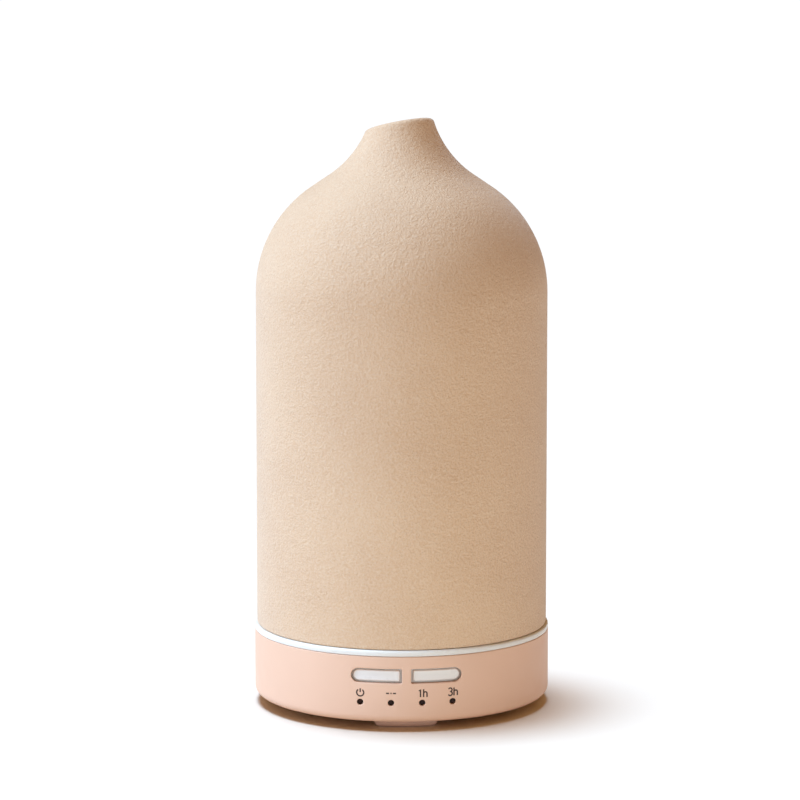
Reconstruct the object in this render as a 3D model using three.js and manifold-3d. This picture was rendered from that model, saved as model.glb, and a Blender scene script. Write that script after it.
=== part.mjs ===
// Ultrasonic essential oil diffuser with a lift-off ceramic cover.
// Millimetres. +Z is up and Z 0 is the table. The two control buttons face -Y.
// Bearings round the axis are in degrees from the front: 0 is -Y, 90 is +X, 180 is the back.

import * as THREE from "three";
import { mergeVertices } from "three/addons/utils/BufferGeometryUtils.js";
import Module from "manifold-3d";

const wasm = await Module();
wasm.setup();

// ---------- Driving dimensions ----------

const ROUND = 36; // sides of a large turned part
const MID_ROUND = 20; // sides of a turned part between 10 and 35 mm across
const SMALL_ROUND = 12; // sides of a screw, rod or pin
const GAP = 0.1; // assembly gap between faces that rest on each other
const HEAD_GAP = 0.05; // gap under a screw's head, a chip or an LED
const PAST = 2; // how far a cutting tool runs past the face that it cuts

// Base shell
const BASE_RADIUS = 47.1;
const BASE_BOTTOM = 2.8;
const BASE_TOP = 24;
const BASE_WALL = 1.8;
const BASE_FILLET = 2.6;
const BASE_BORE = BASE_RADIUS - BASE_WALL;
const LIP_BORE = 41.6;
const LIP_BOTTOM = 4.95;
const LIP_TOP = 6.3;

// Bottom cover, which closes the base from below
const FLOOR_RADIUS = 43.4;
const FLOOR_BOTTOM = 2.85;
const FLOOR_TOP = 4.8;

// Light ring, between the base and the ceramic cover
const RING_TOP = 25.9;
const RING_RADIUS = 47.1;
const RING_SEAT_RADIUS = 43.8;
const LEDGE_RADIUS = 41.6;
const LEDGE_BOTTOM = 22;
const LEDGE_TOP = 23.4;

// Ceramic cover: cylinder, shoulder arc, short straight slope, neck arc, slanted mouth
const COVER_RADIUS = 46.4;
const COVER_WALL = 4;
const COVER_BOTTOM = RING_TOP + GAP;
const SHOULDER_HEIGHT = 132.8;
const SHOULDER_RADIUS = 39.9;
const SLOPE_ANGLE = THREE.MathUtils.degToRad(55.8);
const SLOPE_LENGTH = 7;
const NECK_RADIUS = 33.1;
const MOUTH_HEIGHT = 186.3; // height of the slanted mouth on the axis
const MOUTH_SLANT = THREE.MathUtils.degToRad(16);
const MOUTH_BEARING = 38; // the side on which the mouth is highest

// Water tank and splash cap
const TANK_RADIUS = 37;
const TANK_WALL = 1.8;
const TANK_FLOOR = 29;
const TANK_RIM = 70;
const FLANGE_RADIUS = 43.6;
const FLANGE_BOTTOM = 24;
const FLANGE_TOP = 25.8;
const RIB_RADIUS = 42.2; // the rib on the flange centres the ceramic cover
const RIB_TOP = 28.8;
const DUCT_CENTRE_X = -29.5;
const DUCT_TOP = 66;
const CAP_BOTTOM = 62;
const CAP_SKIRT_BORE = TANK_RADIUS + 0.4;
const CAP_WALL = 1.8;
const CHIMNEY_RADIUS = 8;
const CHIMNEY_BORE = 6.3;
const CHIMNEY_TOP = 97;

// Buttons: both openings are measured in the XZ plane and cut along Y
const BUTTON_HEIGHT = 17.8;
const OPENING_INNER_X = 1.45;
const OPENING_OUTER_X = 17.3;
const OPENING_HALF_HEIGHT = 2.35;
const BUTTON_GAP = 0.65;
const BUTTON_RECESS = 0.9;
const BUTTON_FLANGE = 0.55;
const BUTTON_INNER_RADIUS = 43;
const BUTTON_FLANGE_RADIUS = 44.9;
const SWITCH_X = 9.36;

// Indicator lights
const INDICATOR_HEIGHT = 9.3;
const INDICATOR_BEARINGS = [-17.9, -5.95, 5.95, 17.9];
const INDICATOR_HOLE_RADIUS = 1;
const INDICATOR_ROD_RADIUS = 0.8;

// Feet and case screws
const FOOT_BEARINGS = { foot_front: 0, foot_right_rear: 120, foot_left_rear: 240 };
const FOOT_HALF_SPAN = 15;
const FOOT_INNER_RADIUS = 33;
const FOOT_OUTER_RADIUS = 41;
const FOOT_TOP = 3.5;
const FOOT_POCKET_TOP = FOOT_TOP + GAP;
const BOSS_BEARINGS = [55, 145, 215, 305];
const BOSS_CIRCLE = 37.8;
const BOSS_RADIUS = 3.2;
const BOSS_BOTTOM = 6.3;

// Fan
const FAN_X = -20.5;
const FAN_Y = 5.5;
const FAN_SIZE = 30;
const FAN_BOTTOM = 5;
const FAN_HEIGHT = 10;
const FAN_BORE = 14;
const FAN_HUB_RADIUS = 7.5;
const FAN_BLADE_TIP = 13.4;
const FAN_BLADES = 7;
const FAN_SCREW_OFFSET = 12;

// Boards
const MAIN_BOARD_BOTTOM = 7.6;
const MAIN_BOARD_TOP = 9;
const MAIN_BOARD_RADIUS = 43;
const MAIN_BOARD_LEFT = -4.9;
const MAIN_BOARD_FRONT = -30;
const ON_BOARD = MAIN_BOARD_TOP + HEAD_GAP;
const BOARD_POSTS = [[9, -24], [36, 4]];
const BUTTON_BOARD_Y = -35.9; // front face of the upright button board
const BUTTON_BOARD_THICKNESS = 1.2;
const BUTTON_BOARD_HALF_WIDTH = 16.5;
const LIGHT_BOARD_BOTTOM = 19.6;
const LIGHT_BOARD_TOP = 20.6;
const LIGHT_BOARD_INNER = 41.8;
const LIGHT_BOARD_OUTER = 44.9;
const LIGHT_BOARD_START = 32;
const PEG_BEARINGS = [40, 130, 230, 320];
const PEG_CIRCLE = 43.3;
const PEG_RADIUS = 0.7;

// Power socket, in the middle of the back
const SOCKET_HEIGHT = 13.8;
const SOCKET_BACK_HOLE = 4.6;
const SOCKET_NOSE_RADIUS = 4.2;
const SOCKET_BORE = 3.15;
const SOCKET_FACE_Y = 45.6;

// Transducer stack, under the middle of the tank
const SEAL_RADIUS = 12;
const POCKET_RADIUS = 12.2;
const POCKET_TOP = 26.2;
const COLLAR_BOTTOM = 22;
const COLLAR_RADIUS = 16.8;
const MIST_HOLE_RADIUS = 8;
const SEAL_BORE = 8.6;
const SEAL_GROOVE_RADIUS = 10.3;
const SEAL_GROOVE_BOTTOM = 23.4;
const SEAL_GROOVE_TOP = 24.8;
const DISC_RADIUS = 10;
const DISC_BOTTOM = 23.5;
const DISC_TOP = 24.7;
const CLAMP_BORE = 7;
const CLAMP_RADIUS = 16.6;
const CLAMP_THICKNESS = 1.2;
const CLAMP_SCREW_CIRCLE = 14.4;
const CLAMP_SCREW_BEARINGS = [90, 270];

// ---------- Materials ----------

const material = (color, roughness, metalness = 0) =>
  new THREE.MeshStandardMaterial({ color, roughness, metalness });

const MATERIALS = {
  ceramic: material(0xdcc3a6, 0.85),
  basePlastic: material(0xdfb89b, 0.5),
  diffuserPlastic: material(0xe8e6df, 0.35),
  buttonPlastic: material(0xeeeae5, 0.35),
  tankPlastic: material(0xf2f1ec, 0.4),
  silicone: material(0xb58470, 0.8),
  clearSilicone: material(0xd9d9d2, 0.6),
  smokedPlastic: material(0x2b1c14, 0.2),
  blackPlastic: material(0x17181a, 0.45),
  whitePlastic: material(0xe9e6dc, 0.5),
  boardGreen: material(0x1e5a3a, 0.5),
  ledYellow: material(0xf0d060, 0.3),
  steel: material(0xb9bcc0, 0.35, 1),
  brass: material(0xc9a14a, 0.35, 1),
  copper: material(0xb0673a, 0.4, 1),
  aluminium: material(0xc4c7ca, 0.4, 1),
  wire: material(0xa02620, 0.55),
};

// ---------- Geometry helpers ----------

const radians = THREE.MathUtils.degToRad;

// A point at a bearing from the front, on a circle round the axis.
function onCircle(radius, bearing) {
  return [radius * Math.sin(radians(bearing)), -radius * Math.cos(radians(bearing))];
}

// A solid of revolution round Z, from an outline of [radius, height] points taken anticlockwise.
function turned(outline, sides = ROUND) {
  const points = outline.map(([r, z]) => new THREE.Vector2(r, z));
  return new THREE.LatheGeometry(points, sides).rotateX(Math.PI / 2);
}

// The same for an outline that doesn't touch the axis: it is closed on itself.
function turnedRing(outline, sides = ROUND) {
  return turned([...outline, outline[0]], sides);
}

function box(x0, x1, y0, y1, z0, z1) {
  const geometry = new THREE.BoxGeometry(x1 - x0, y1 - y0, z1 - z0);
  return geometry.translate((x0 + x1) / 2, (y0 + y1) / 2, (z0 + z1) / 2);
}

function rodAlongZ(x, y, radius, z0, z1, sides = SMALL_ROUND) {
  const geometry = new THREE.CylinderGeometry(radius, radius, z1 - z0, sides);
  return geometry.rotateX(Math.PI / 2).translate(x, y, (z0 + z1) / 2);
}

function rodAlongY(x, z, radius, y0, y1, sides = SMALL_ROUND) {
  const geometry = new THREE.CylinderGeometry(radius, radius, y1 - y0, sides);
  return geometry.translate(x, (y0 + y1) / 2, z);
}

// A flat shape drawn in XY, standing from z0 to z1.
function slab(shape, z0, z1, curveSegments = 12) {
  const options = { depth: z1 - z0, bevelEnabled: false, curveSegments };
  return new THREE.ExtrudeGeometry(shape, options).translate(0, 0, z0);
}

// A flat shape drawn in XZ, reaching from y0 to y1.
function prismAlongY(shape, y0, y1, curveSegments = 8) {
  const options = { depth: y1 - y0, bevelEnabled: false, curveSegments };
  return new THREE.ExtrudeGeometry(shape, options).rotateX(Math.PI / 2).translate(0, y1, 0);
}

// A band between two circles, from one bearing to another.
function arcBand(inner, outer, fromBearing, toBearing) {
  const from = radians(fromBearing - 90);
  const to = radians(toBearing - 90);
  const shape = new THREE.Shape();
  shape.absarc(0, 0, outer, from, to, false);
  shape.absarc(0, 0, inner, to, from, true);
  shape.closePath();
  return shape;
}

// Points along a circular arc in the outline's plane, end points included.
function arcPoints(centreR, centreZ, radius, fromAngle, toAngle, steps) {
  return Array.from({ length: steps + 1 }, (_, i) => {
    const a = fromAngle + ((toAngle - fromAngle) * i) / steps;
    return [centreR + radius * Math.cos(a), centreZ + radius * Math.sin(a)];
  });
}

function curvePoints(curve, steps) {
  return curve.getPoints(steps).map((p) => [p.x, p.y]);
}

function solidOf(geometry) {
  const bare = geometry.index ? geometry.toNonIndexed() : geometry.clone();
  bare.deleteAttribute("normal");
  bare.deleteAttribute("uv");
  const merged = mergeVertices(bare, 1e-3);
  const vertProperties = merged.attributes.position.array;
  const triVerts = new Uint32Array(merged.index.array);
  return new wasm.Manifold(new wasm.Mesh({ numProp: 3, vertProperties, triVerts }));
}

function geometryOf(solid) {
  const mesh = solid.getMesh();
  const geometry = new THREE.BufferGeometry();
  geometry.setAttribute("position", new THREE.BufferAttribute(mesh.vertProperties, 3));
  geometry.setIndex(new THREE.BufferAttribute(mesh.triVerts, 1));
  geometry.computeVertexNormals();
  return geometry;
}

function join(first, ...others) {
  return geometryOf(others.reduce((whole, g) => whole.add(solidOf(g)), solidOf(first)));
}

function cut(first, ...tools) {
  return geometryOf(tools.reduce((left, g) => left.subtract(solidOf(g)), solidOf(first)));
}

function common(first, second) {
  return geometryOf(solidOf(first).intersect(solidOf(second)));
}

// ---------- Ceramic cover ----------

// The cover's side in section, from the open bottom up past the mouth, set in from the outside.
function coverSide(inset) {
  const shoulderCentre = [COVER_RADIUS - SHOULDER_RADIUS, SHOULDER_HEIGHT];
  const along = SHOULDER_RADIUS;
  const slopeFoot = [
    shoulderCentre[0] + along * Math.cos(SLOPE_ANGLE),
    shoulderCentre[1] + along * Math.sin(SLOPE_ANGLE),
  ];
  const slopeHead = [
    slopeFoot[0] - SLOPE_LENGTH * Math.sin(SLOPE_ANGLE),
    slopeFoot[1] + SLOPE_LENGTH * Math.cos(SLOPE_ANGLE),
  ];
  const neckCentre = [
    slopeHead[0] + NECK_RADIUS * Math.cos(SLOPE_ANGLE),
    slopeHead[1] + NECK_RADIUS * Math.sin(SLOPE_ANGLE),
  ];
  const neckRadius = NECK_RADIUS + inset;
  const neckEnd = Math.PI + Math.asin((neckCentre[1] - MOUTH_HEIGHT - 4) / neckRadius);
  return [
    [COVER_RADIUS - inset, COVER_BOTTOM],
    ...arcPoints(...shoulderCentre, SHOULDER_RADIUS - inset, 0, SLOPE_ANGLE, 7),
    ...arcPoints(...neckCentre, neckRadius, Math.PI + SLOPE_ANGLE, neckEnd, 5),
  ];
}

function ceramicCover() {
  const shell = turnedRing([...coverSide(0), ...coverSide(COVER_WALL).reverse()]);
  const aboveMouth = box(-30, 30, -30, 30, 0, 30);
  aboveMouth.rotateY(-MOUTH_SLANT).rotateZ(radians(MOUTH_BEARING - 90)).translate(0, 0, MOUTH_HEIGHT);
  return cut(shell, aboveMouth);
}

// ---------- Splash cap ----------

// The cap's roof in section, from the skirt's shoulder in to the chimney, lowered by the wall.
function capRoof(drop) {
  return new THREE.CubicBezierCurve(
    new THREE.Vector2(CAP_SKIRT_BORE + CAP_WALL - drop * 2, TANK_RIM + 1.6),
    new THREE.Vector2(CAP_SKIRT_BORE - 2 - drop, TANK_RIM + 10 - drop),
    new THREE.Vector2(20, TANK_RIM + 13 - drop),
    new THREE.Vector2(CHIMNEY_RADIUS + 1.2 - drop * 1.6, TANK_RIM + 15 - drop * 0.9),
  );
}

function splashCap() {
  const seat = TANK_RIM + GAP;
  return turnedRing([
    [CAP_SKIRT_BORE + CAP_WALL, CAP_BOTTOM],
    ...curvePoints(capRoof(0), 6),
    [CHIMNEY_RADIUS, TANK_RIM + 16.5],
    [CHIMNEY_RADIUS, CHIMNEY_TOP],
    [CHIMNEY_BORE, CHIMNEY_TOP],
    ...curvePoints(capRoof(CAP_WALL), 6).reverse(),
    [CAP_SKIRT_BORE - CAP_WALL, seat],
    [CAP_SKIRT_BORE, seat],
    [CAP_SKIRT_BORE, CAP_BOTTOM],
  ]);
}

// ---------- Water tank and what seals it ----------

function waterTank() {
  const bore = TANK_RADIUS - TANK_WALL;
  const bowl = turnedRing([
    [POCKET_RADIUS, COLLAR_BOTTOM],
    [COLLAR_RADIUS, COLLAR_BOTTOM],
    [COLLAR_RADIUS, TANK_FLOOR - 2.4],
    [bore, TANK_FLOOR - TANK_WALL],
    [bore, FLANGE_BOTTOM],
    [FLANGE_RADIUS, FLANGE_BOTTOM],
    [FLANGE_RADIUS, FLANGE_TOP],
    [RIB_RADIUS, FLANGE_TOP],
    [RIB_RADIUS, RIB_TOP],
    [RIB_RADIUS - 1.3, RIB_TOP],
    [RIB_RADIUS - 1.3, FLANGE_TOP],
    [TANK_RADIUS, FLANGE_TOP],
    [TANK_RADIUS, TANK_RIM],
    [bore, TANK_RIM],
    [bore, TANK_FLOOR + 3],
    [bore - 3, TANK_FLOOR + 0.4],
    [MIST_HOLE_RADIUS + 3, TANK_FLOOR - 0.6],
    [MIST_HOLE_RADIUS, TANK_FLOOR - 1.2],
    [MIST_HOLE_RADIUS, POCKET_TOP],
    [POCKET_RADIUS, POCKET_TOP],
  ]);
  const ductFloor = TANK_FLOOR - 2;
  const duct = box(DUCT_CENTRE_X - 5, DUCT_CENTRE_X + 5, -9, 9, ductFloor + 0.1, DUCT_TOP);
  const ductHole = box(
    DUCT_CENTRE_X - 3.4, DUCT_CENTRE_X + 3.4, -7.4, 7.4, ductFloor - PAST, DUCT_TOP + PAST);
  const bosses = BOSS_BEARINGS.map((bearing) =>
    rodAlongZ(...onCircle(BOSS_CIRCLE, bearing), BOSS_RADIUS, BOSS_BOTTOM, FLANGE_BOTTOM + 0.5));
  const pilots = BOSS_BEARINGS.map((bearing) =>
    rodAlongZ(...onCircle(BOSS_CIRCLE, bearing), 1.35, BOSS_BOTTOM - PAST, BOSS_BOTTOM + 11, 8));
  const clampPilots = CLAMP_SCREW_BEARINGS.map((bearing) =>
    rodAlongZ(...onCircle(CLAMP_SCREW_CIRCLE, bearing), 1.05, COLLAR_BOTTOM - PAST, COLLAR_BOTTOM + 4, 8));
  return cut(join(bowl, duct, ...bosses), ductHole, ...pilots, ...clampPilots);
}

function tankGasket() {
  const bottom = LEDGE_TOP + 0.05;
  const top = FLANGE_BOTTOM - 0.05;
  return turnedRing([[41.9, bottom], [43.3, bottom], [43.3, top], [41.9, top]]);
}

function transducerSeal() {
  const bottom = COLLAR_BOTTOM + GAP;
  const top = POCKET_TOP - GAP;
  return turnedRing([
    [SEAL_BORE, bottom],
    [SEAL_RADIUS, bottom],
    [SEAL_RADIUS, top],
    [SEAL_BORE, top],
    [SEAL_BORE, SEAL_GROOVE_TOP],
    [SEAL_GROOVE_RADIUS, SEAL_GROOVE_TOP],
    [SEAL_GROOVE_RADIUS, SEAL_GROOVE_BOTTOM],
    [SEAL_BORE, SEAL_GROOVE_BOTTOM],
  ], MID_ROUND);
}

function transducerDisc() {
  return rodAlongZ(0, 0, DISC_RADIUS, DISC_BOTTOM, DISC_TOP, MID_ROUND);
}

function transducerClamp() {
  const top = COLLAR_BOTTOM - GAP;
  const bottom = top - CLAMP_THICKNESS;
  const plate = turnedRing([
    [CLAMP_BORE, bottom],
    [CLAMP_RADIUS, bottom],
    [CLAMP_RADIUS, top],
    [CLAMP_BORE, top],
  ], MID_ROUND);
  const holes = CLAMP_SCREW_BEARINGS.map((bearing) =>
    rodAlongZ(...onCircle(CLAMP_SCREW_CIRCLE, bearing), 1.2, top - PAST * 2, top + PAST, 8));
  return cut(plate, ...holes);
}

// ---------- Light ring ----------

function lightRing() {
  const ring = turnedRing([
    [LEDGE_RADIUS, LEDGE_BOTTOM],
    [BASE_BORE - 0.2, LEDGE_BOTTOM],
    [BASE_BORE - 0.2, BASE_TOP + GAP],
    [RING_RADIUS - 0.1, BASE_TOP + GAP],
    [RING_RADIUS, BASE_TOP + 0.5],
    [RING_RADIUS - 0.2, RING_TOP - 0.6],
    [RING_RADIUS - 0.7, RING_TOP],
    [RING_SEAT_RADIUS, RING_TOP],
    [RING_SEAT_RADIUS, LEDGE_TOP],
    [LEDGE_RADIUS, LEDGE_TOP],
  ]);
  const pegs = PEG_BEARINGS.flatMap((bearing) => {
    const [x, y] = onCircle(PEG_CIRCLE, bearing);
    return [
      rodAlongZ(x, y, 1.2, LIGHT_BOARD_TOP + 0.05, LEDGE_BOTTOM + 0.3, 8),
      rodAlongZ(x, y, PEG_RADIUS, LIGHT_BOARD_BOTTOM - 0.8, LEDGE_BOTTOM, 8),
    ];
  });
  return join(ring, ...pegs);
}

// Horseshoe board under the ledge, held on the ring's pegs; its gap is behind the buttons.
function lightBoard() {
  const band = arcBand(LIGHT_BOARD_INNER, LIGHT_BOARD_OUTER, LIGHT_BOARD_START, 360 - LIGHT_BOARD_START);
  const holes = PEG_BEARINGS.map((bearing) =>
    rodAlongZ(...onCircle(PEG_CIRCLE, bearing), PEG_RADIUS + 0.2, 15, 25, 8));
  return cut(slab(band, LIGHT_BOARD_BOTTOM, LIGHT_BOARD_TOP, 16), ...holes);
}

// ---------- Base shell, bottom cover and feet ----------

// A button opening's outline in XZ: square at the middle of the front, half-round at the far end.
function buttonOutline(side, spread) {
  const inner = OPENING_INNER_X - spread;
  const half = OPENING_HALF_HEIGHT + spread;
  const roundCentre = OPENING_OUTER_X - OPENING_HALF_HEIGHT;
  const shape = new THREE.Shape();
  shape.moveTo(inner, BUTTON_HEIGHT - half);
  shape.lineTo(roundCentre, BUTTON_HEIGHT - half);
  shape.absarc(roundCentre, BUTTON_HEIGHT, half, -Math.PI / 2, Math.PI / 2, false);
  shape.lineTo(inner, BUTTON_HEIGHT + half);
  shape.closePath();
  if (side > 0) return shape;
  const mirrored = shape.getPoints(8).map((p) => new THREE.Vector2(-p.x, p.y));
  return new THREE.Shape(mirrored.reverse());
}

function baseShell() {
  const fillet = arcPoints(
    BASE_RADIUS - BASE_FILLET, BASE_BOTTOM + BASE_FILLET, BASE_FILLET, -Math.PI / 2, 0, 4);
  const wall = turnedRing([
    ...fillet,
    [BASE_RADIUS, BASE_TOP],
    [BASE_BORE, BASE_TOP],
    [BASE_BORE, LIP_TOP],
    [LIP_BORE, LIP_TOP],
    [LIP_BORE, LIP_BOTTOM],
    [FLOOR_RADIUS + 0.2, LIP_BOTTOM],
    [FLOOR_RADIUS + 0.2, BASE_BOTTOM],
  ]);
  const inFront = -BASE_RADIUS - PAST;
  const openings = [-1, 1].map((side) => prismAlongY(buttonOutline(side, 0), inFront, -30));
  const holes = INDICATOR_BEARINGS.map((bearing) => {
    const [x] = onCircle(BASE_RADIUS, bearing);
    return rodAlongY(x, INDICATOR_HEIGHT, INDICATOR_HOLE_RADIUS, inFront, -30);
  });
  const socketHole = rodAlongY(0, SOCKET_HEIGHT, SOCKET_BACK_HOLE, 40, BASE_RADIUS + PAST, 24);
  return cut(wall, ...openings, ...holes, socketHole);
}

function bottomCover() {
  const disc = rodAlongZ(0, 0, FLOOR_RADIUS, FLOOR_BOTTOM, FLOOR_TOP, ROUND);
  const pads = BOSS_BEARINGS.map((bearing) =>
    rodAlongZ(...onCircle(BOSS_CIRCLE, bearing), 3.4, FLOOR_TOP - 0.5, BOSS_BOTTOM - GAP));
  const posts = BOARD_POSTS.map(([x, y]) =>
    rodAlongZ(x, y, 2.6, FLOOR_TOP - 0.5, MAIN_BOARD_BOTTOM - 0.05));
  const guides = [-1, 1].map((side) => {
    const [x0, x1] = side > 0 ? [15.9, 18.4] : [-18.4, -15.9];
    return box(x0, x1, -36.9, -33.8, FLOOR_TOP - 0.5, 15);
  });
  const whole = join(disc, ...pads, ...posts, ...guides);

  const counterbores = BOSS_BEARINGS.flatMap((bearing) => {
    const [x, y] = onCircle(BOSS_CIRCLE, bearing);
    return [
      rodAlongZ(x, y, 2.9, FLOOR_BOTTOM - PAST, FLOOR_BOTTOM + 1.8),
      rodAlongZ(x, y, 1.7, FLOOR_BOTTOM - PAST, BOSS_BOTTOM + PAST, 8),
    ];
  });
  const postPilots = BOARD_POSTS.map(([x, y]) =>
    rodAlongZ(x, y, 1.05, FLOOR_TOP - 0.8, MAIN_BOARD_BOTTOM + PAST, 8));
  const boardSlot = box(-16.9, 16.9, BUTTON_BOARD_Y - 0.1, BUTTON_BOARD_Y + 1.3, FLOOR_TOP + 0.2, 20);
  const pockets = Object.values(FOOT_BEARINGS).map((bearing) => {
    const band = arcBand(FOOT_INNER_RADIUS - 0.15, FOOT_OUTER_RADIUS + 0.15,
      bearing - FOOT_HALF_SPAN - 0.3, bearing + FOOT_HALF_SPAN + 0.3);
    return slab(band, FLOOR_BOTTOM - PAST, FOOT_POCKET_TOP, 6);
  });
  const fanScrewHoles = fanScrewPlaces().map(([x, y]) =>
    rodAlongZ(x, y, 1.05, FLOOR_BOTTOM + 0.4, FLOOR_TOP + PAST, 8));
  return cut(whole, ...counterbores, ...postPilots, boardSlot, ...pockets, ...fanScrewHoles, ...vents());
}

// Air slots under the fan, each as long as the fan's round opening is wide there.
function vents() {
  const halfWidth = 0.8;
  const pitch = 3.1;
  return [-3, -2, -1, 0, 1, 2, 3].map((n) => {
    const y = n * pitch;
    const half = Math.sqrt((FAN_BORE - 3) ** 2 - y ** 2);
    return box(FAN_X - half, FAN_X + half, FAN_Y + y - halfWidth, FAN_Y + y + halfWidth,
      FLOOR_BOTTOM - PAST, FLOOR_TOP + PAST);
  });
}

function foot(bearing) {
  const band = arcBand(FOOT_INNER_RADIUS, FOOT_OUTER_RADIUS,
    bearing - FOOT_HALF_SPAN, bearing + FOOT_HALF_SPAN);
  return slab(band, 0, FOOT_TOP, 6);
}

// ---------- Buttons, switches and indicators ----------

function button(side) {
  const reach = [-BASE_RADIUS - PAST, -30];
  const face = BASE_RADIUS - BUTTON_RECESS;
  const capBand = turnedRing([
    [BUTTON_INNER_RADIUS, 10], [face, 10], [face, 23], [BUTTON_INNER_RADIUS, 23]], 128);
  const flangeBand = turnedRing([
    [BUTTON_INNER_RADIUS, 10], [BUTTON_FLANGE_RADIUS, 10],
    [BUTTON_FLANGE_RADIUS, 23], [BUTTON_INNER_RADIUS, 23]], 64);
  const cap = common(prismAlongY(buttonOutline(side, -BUTTON_GAP), ...reach), capBand);
  const flange = common(prismAlongY(buttonOutline(side, BUTTON_FLANGE), ...reach), flangeBand);
  const stem = rodAlongY(side * SWITCH_X, BUTTON_HEIGHT, 2, -42.8, -41.2);
  return join(cap, flange, stem);
}

function tactSwitch(side) {
  const x = side * SWITCH_X;
  const front = BUTTON_BOARD_Y - 3.5;
  const body = box(x - 3, x + 3, front, BUTTON_BOARD_Y - 0.05, BUTTON_HEIGHT - 3, BUTTON_HEIGHT + 3);
  return cut(body, rodAlongY(x, BUTTON_HEIGHT, 1.85, front - PAST, front + 1.8));
}

function switchPlunger(side) {
  return rodAlongY(side * SWITCH_X, BUTTON_HEIGHT, 1.7, -41.1, BUTTON_BOARD_Y - 2.6);
}

function buttonBoard() {
  const half = BUTTON_BOARD_HALF_WIDTH;
  return box(-half, half, BUTTON_BOARD_Y, BUTTON_BOARD_Y + BUTTON_BOARD_THICKNESS, 5.2, 20.8);
}

// One clear moulding: a bar in front of the indicator LEDs with a rod to each hole.
function indicatorLightGuide() {
  const bar = box(-16, 16, -39, -37.5, INDICATOR_HEIGHT - 1, INDICATOR_HEIGHT + 1);
  const recess = 1;
  const rods = INDICATOR_BEARINGS.map((bearing) => {
    const [x, y] = onCircle(BASE_RADIUS, bearing);
    return rodAlongY(x, INDICATOR_HEIGHT, INDICATOR_ROD_RADIUS, y + recess, -38.5, 12);
  });
  return join(bar, ...rods);
}

function indicatorLed(bearing) {
  const [x] = onCircle(BASE_RADIUS, bearing);
  const back = BUTTON_BOARD_Y - 0.05;
  return box(x - 0.8, x + 0.8, back - 1.1, back, INDICATOR_HEIGHT - 0.6, INDICATOR_HEIGHT + 0.6);
}

function moodLed() {
  return box(-1.75, 1.75, -1.4, 1.4, LIGHT_BOARD_TOP + 0.05, LIGHT_BOARD_TOP + 0.85);
}

// ---------- Fan ----------

function fanScrewPlaces() {
  const d = FAN_SCREW_OFFSET;
  return [[FAN_X - d, FAN_Y - d], [FAN_X + d, FAN_Y + d]];
}

// Square housing with a round bore, four screw holes, and a motor seat on three arms.
function fanFrame() {
  const half = FAN_SIZE / 2;
  const top = FAN_BOTTOM + FAN_HEIGHT;
  const housing = box(-half, half, -half, half, FAN_BOTTOM, top);
  const bore = rodAlongZ(0, 0, FAN_BORE, FAN_BOTTOM - PAST, top + PAST, 32);
  const d = FAN_SCREW_OFFSET;
  const holes = [[-d, -d], [d, -d], [d, d], [-d, d]].map(([x, y]) =>
    rodAlongZ(x, y, 1.6, FAN_BOTTOM - PAST, top + PAST, 12));
  const arms = [0, 120, 240].map((turn) =>
    box(-1, 1, 0, FAN_BORE + 0.5, FAN_BOTTOM, FAN_BOTTOM + 1.2).rotateZ(radians(turn)));
  const seat = rodAlongZ(0, 0, 7, FAN_BOTTOM, FAN_BOTTOM + 1.2, MID_ROUND);
  const tube = rodAlongZ(0, 0, 2.6, FAN_BOTTOM + 1, FAN_BOTTOM + 7, SMALL_ROUND);
  const bearing = rodAlongZ(0, 0, 1.1, FAN_BOTTOM + 0.5, FAN_BOTTOM + 8, 12);
  return cut(join(cut(housing, bore, ...holes), ...arms, seat, tube), bearing);
}

// The motor's winding, round the bearing tube and inside the rotor's hub.
function fanCoil() {
  const bottom = FAN_BOTTOM + 2;
  return turnedRing([[2.8, bottom], [5.8, bottom], [5.8, bottom + 5], [2.8, bottom + 5]], MID_ROUND);
}

// Hub cup on a shaft, with curved blades pitched so that the air goes up.
function fanRotor() {
  const bottom = FAN_BOTTOM + 1.9;
  const top = FAN_BOTTOM + FAN_HEIGHT - 0.5;
  const hub = turned([
    [0, FAN_BOTTOM + 0.8],
    [1, FAN_BOTTOM + 0.8],
    [1, top - 1.2],
    [FAN_HUB_RADIUS - 1, top - 1.2],
    [FAN_HUB_RADIUS - 1, bottom],
    [FAN_HUB_RADIUS, bottom],
    [FAN_HUB_RADIUS, top - 0.6],
    [FAN_HUB_RADIUS - 0.6, top],
    [0, top],
  ], MID_ROUND);
  const section = new THREE.Shape();
  section.moveTo(-3.2, bottom + 0.2);
  section.quadraticCurveTo(0.6, bottom + 2.4, 2.6, top - 0.3);
  section.lineTo(1.7, top - 0.3);
  section.quadraticCurveTo(-0.6, bottom + 3.4, -3.2, bottom + 1);
  section.closePath();
  const blades = Array.from({ length: FAN_BLADES }, (_, i) =>
    prismAlongY(section, FAN_HUB_RADIUS - 0.4, FAN_BLADE_TIP, 4).rotateZ((2 * Math.PI * i) / FAN_BLADES));
  return join(hub, ...blades);
}

// ---------- Main board and what stands on it ----------

function mainBoard() {
  const shape = new THREE.Shape();
  const reach = MAIN_BOARD_RADIUS;
  const from = Math.asin(MAIN_BOARD_FRONT / reach);
  const to = Math.acos(MAIN_BOARD_LEFT / reach);
  shape.absarc(0, 0, reach, from, to, false);
  shape.lineTo(MAIN_BOARD_LEFT, MAIN_BOARD_FRONT);
  shape.closePath();
  const board = slab(shape, MAIN_BOARD_BOTTOM, MAIN_BOARD_TOP, 16);
  const notches = BOSS_BEARINGS.slice(0, 2).map((bearing) =>
    rodAlongZ(...onCircle(BOSS_CIRCLE, bearing), 4.3, 0, 20, 20));
  const screwHoles = BOARD_POSTS.map(([x, y]) => rodAlongZ(x, y, 1.3, 0, 20, 12));
  return cut(board, ...notches, ...screwHoles);
}

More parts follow.
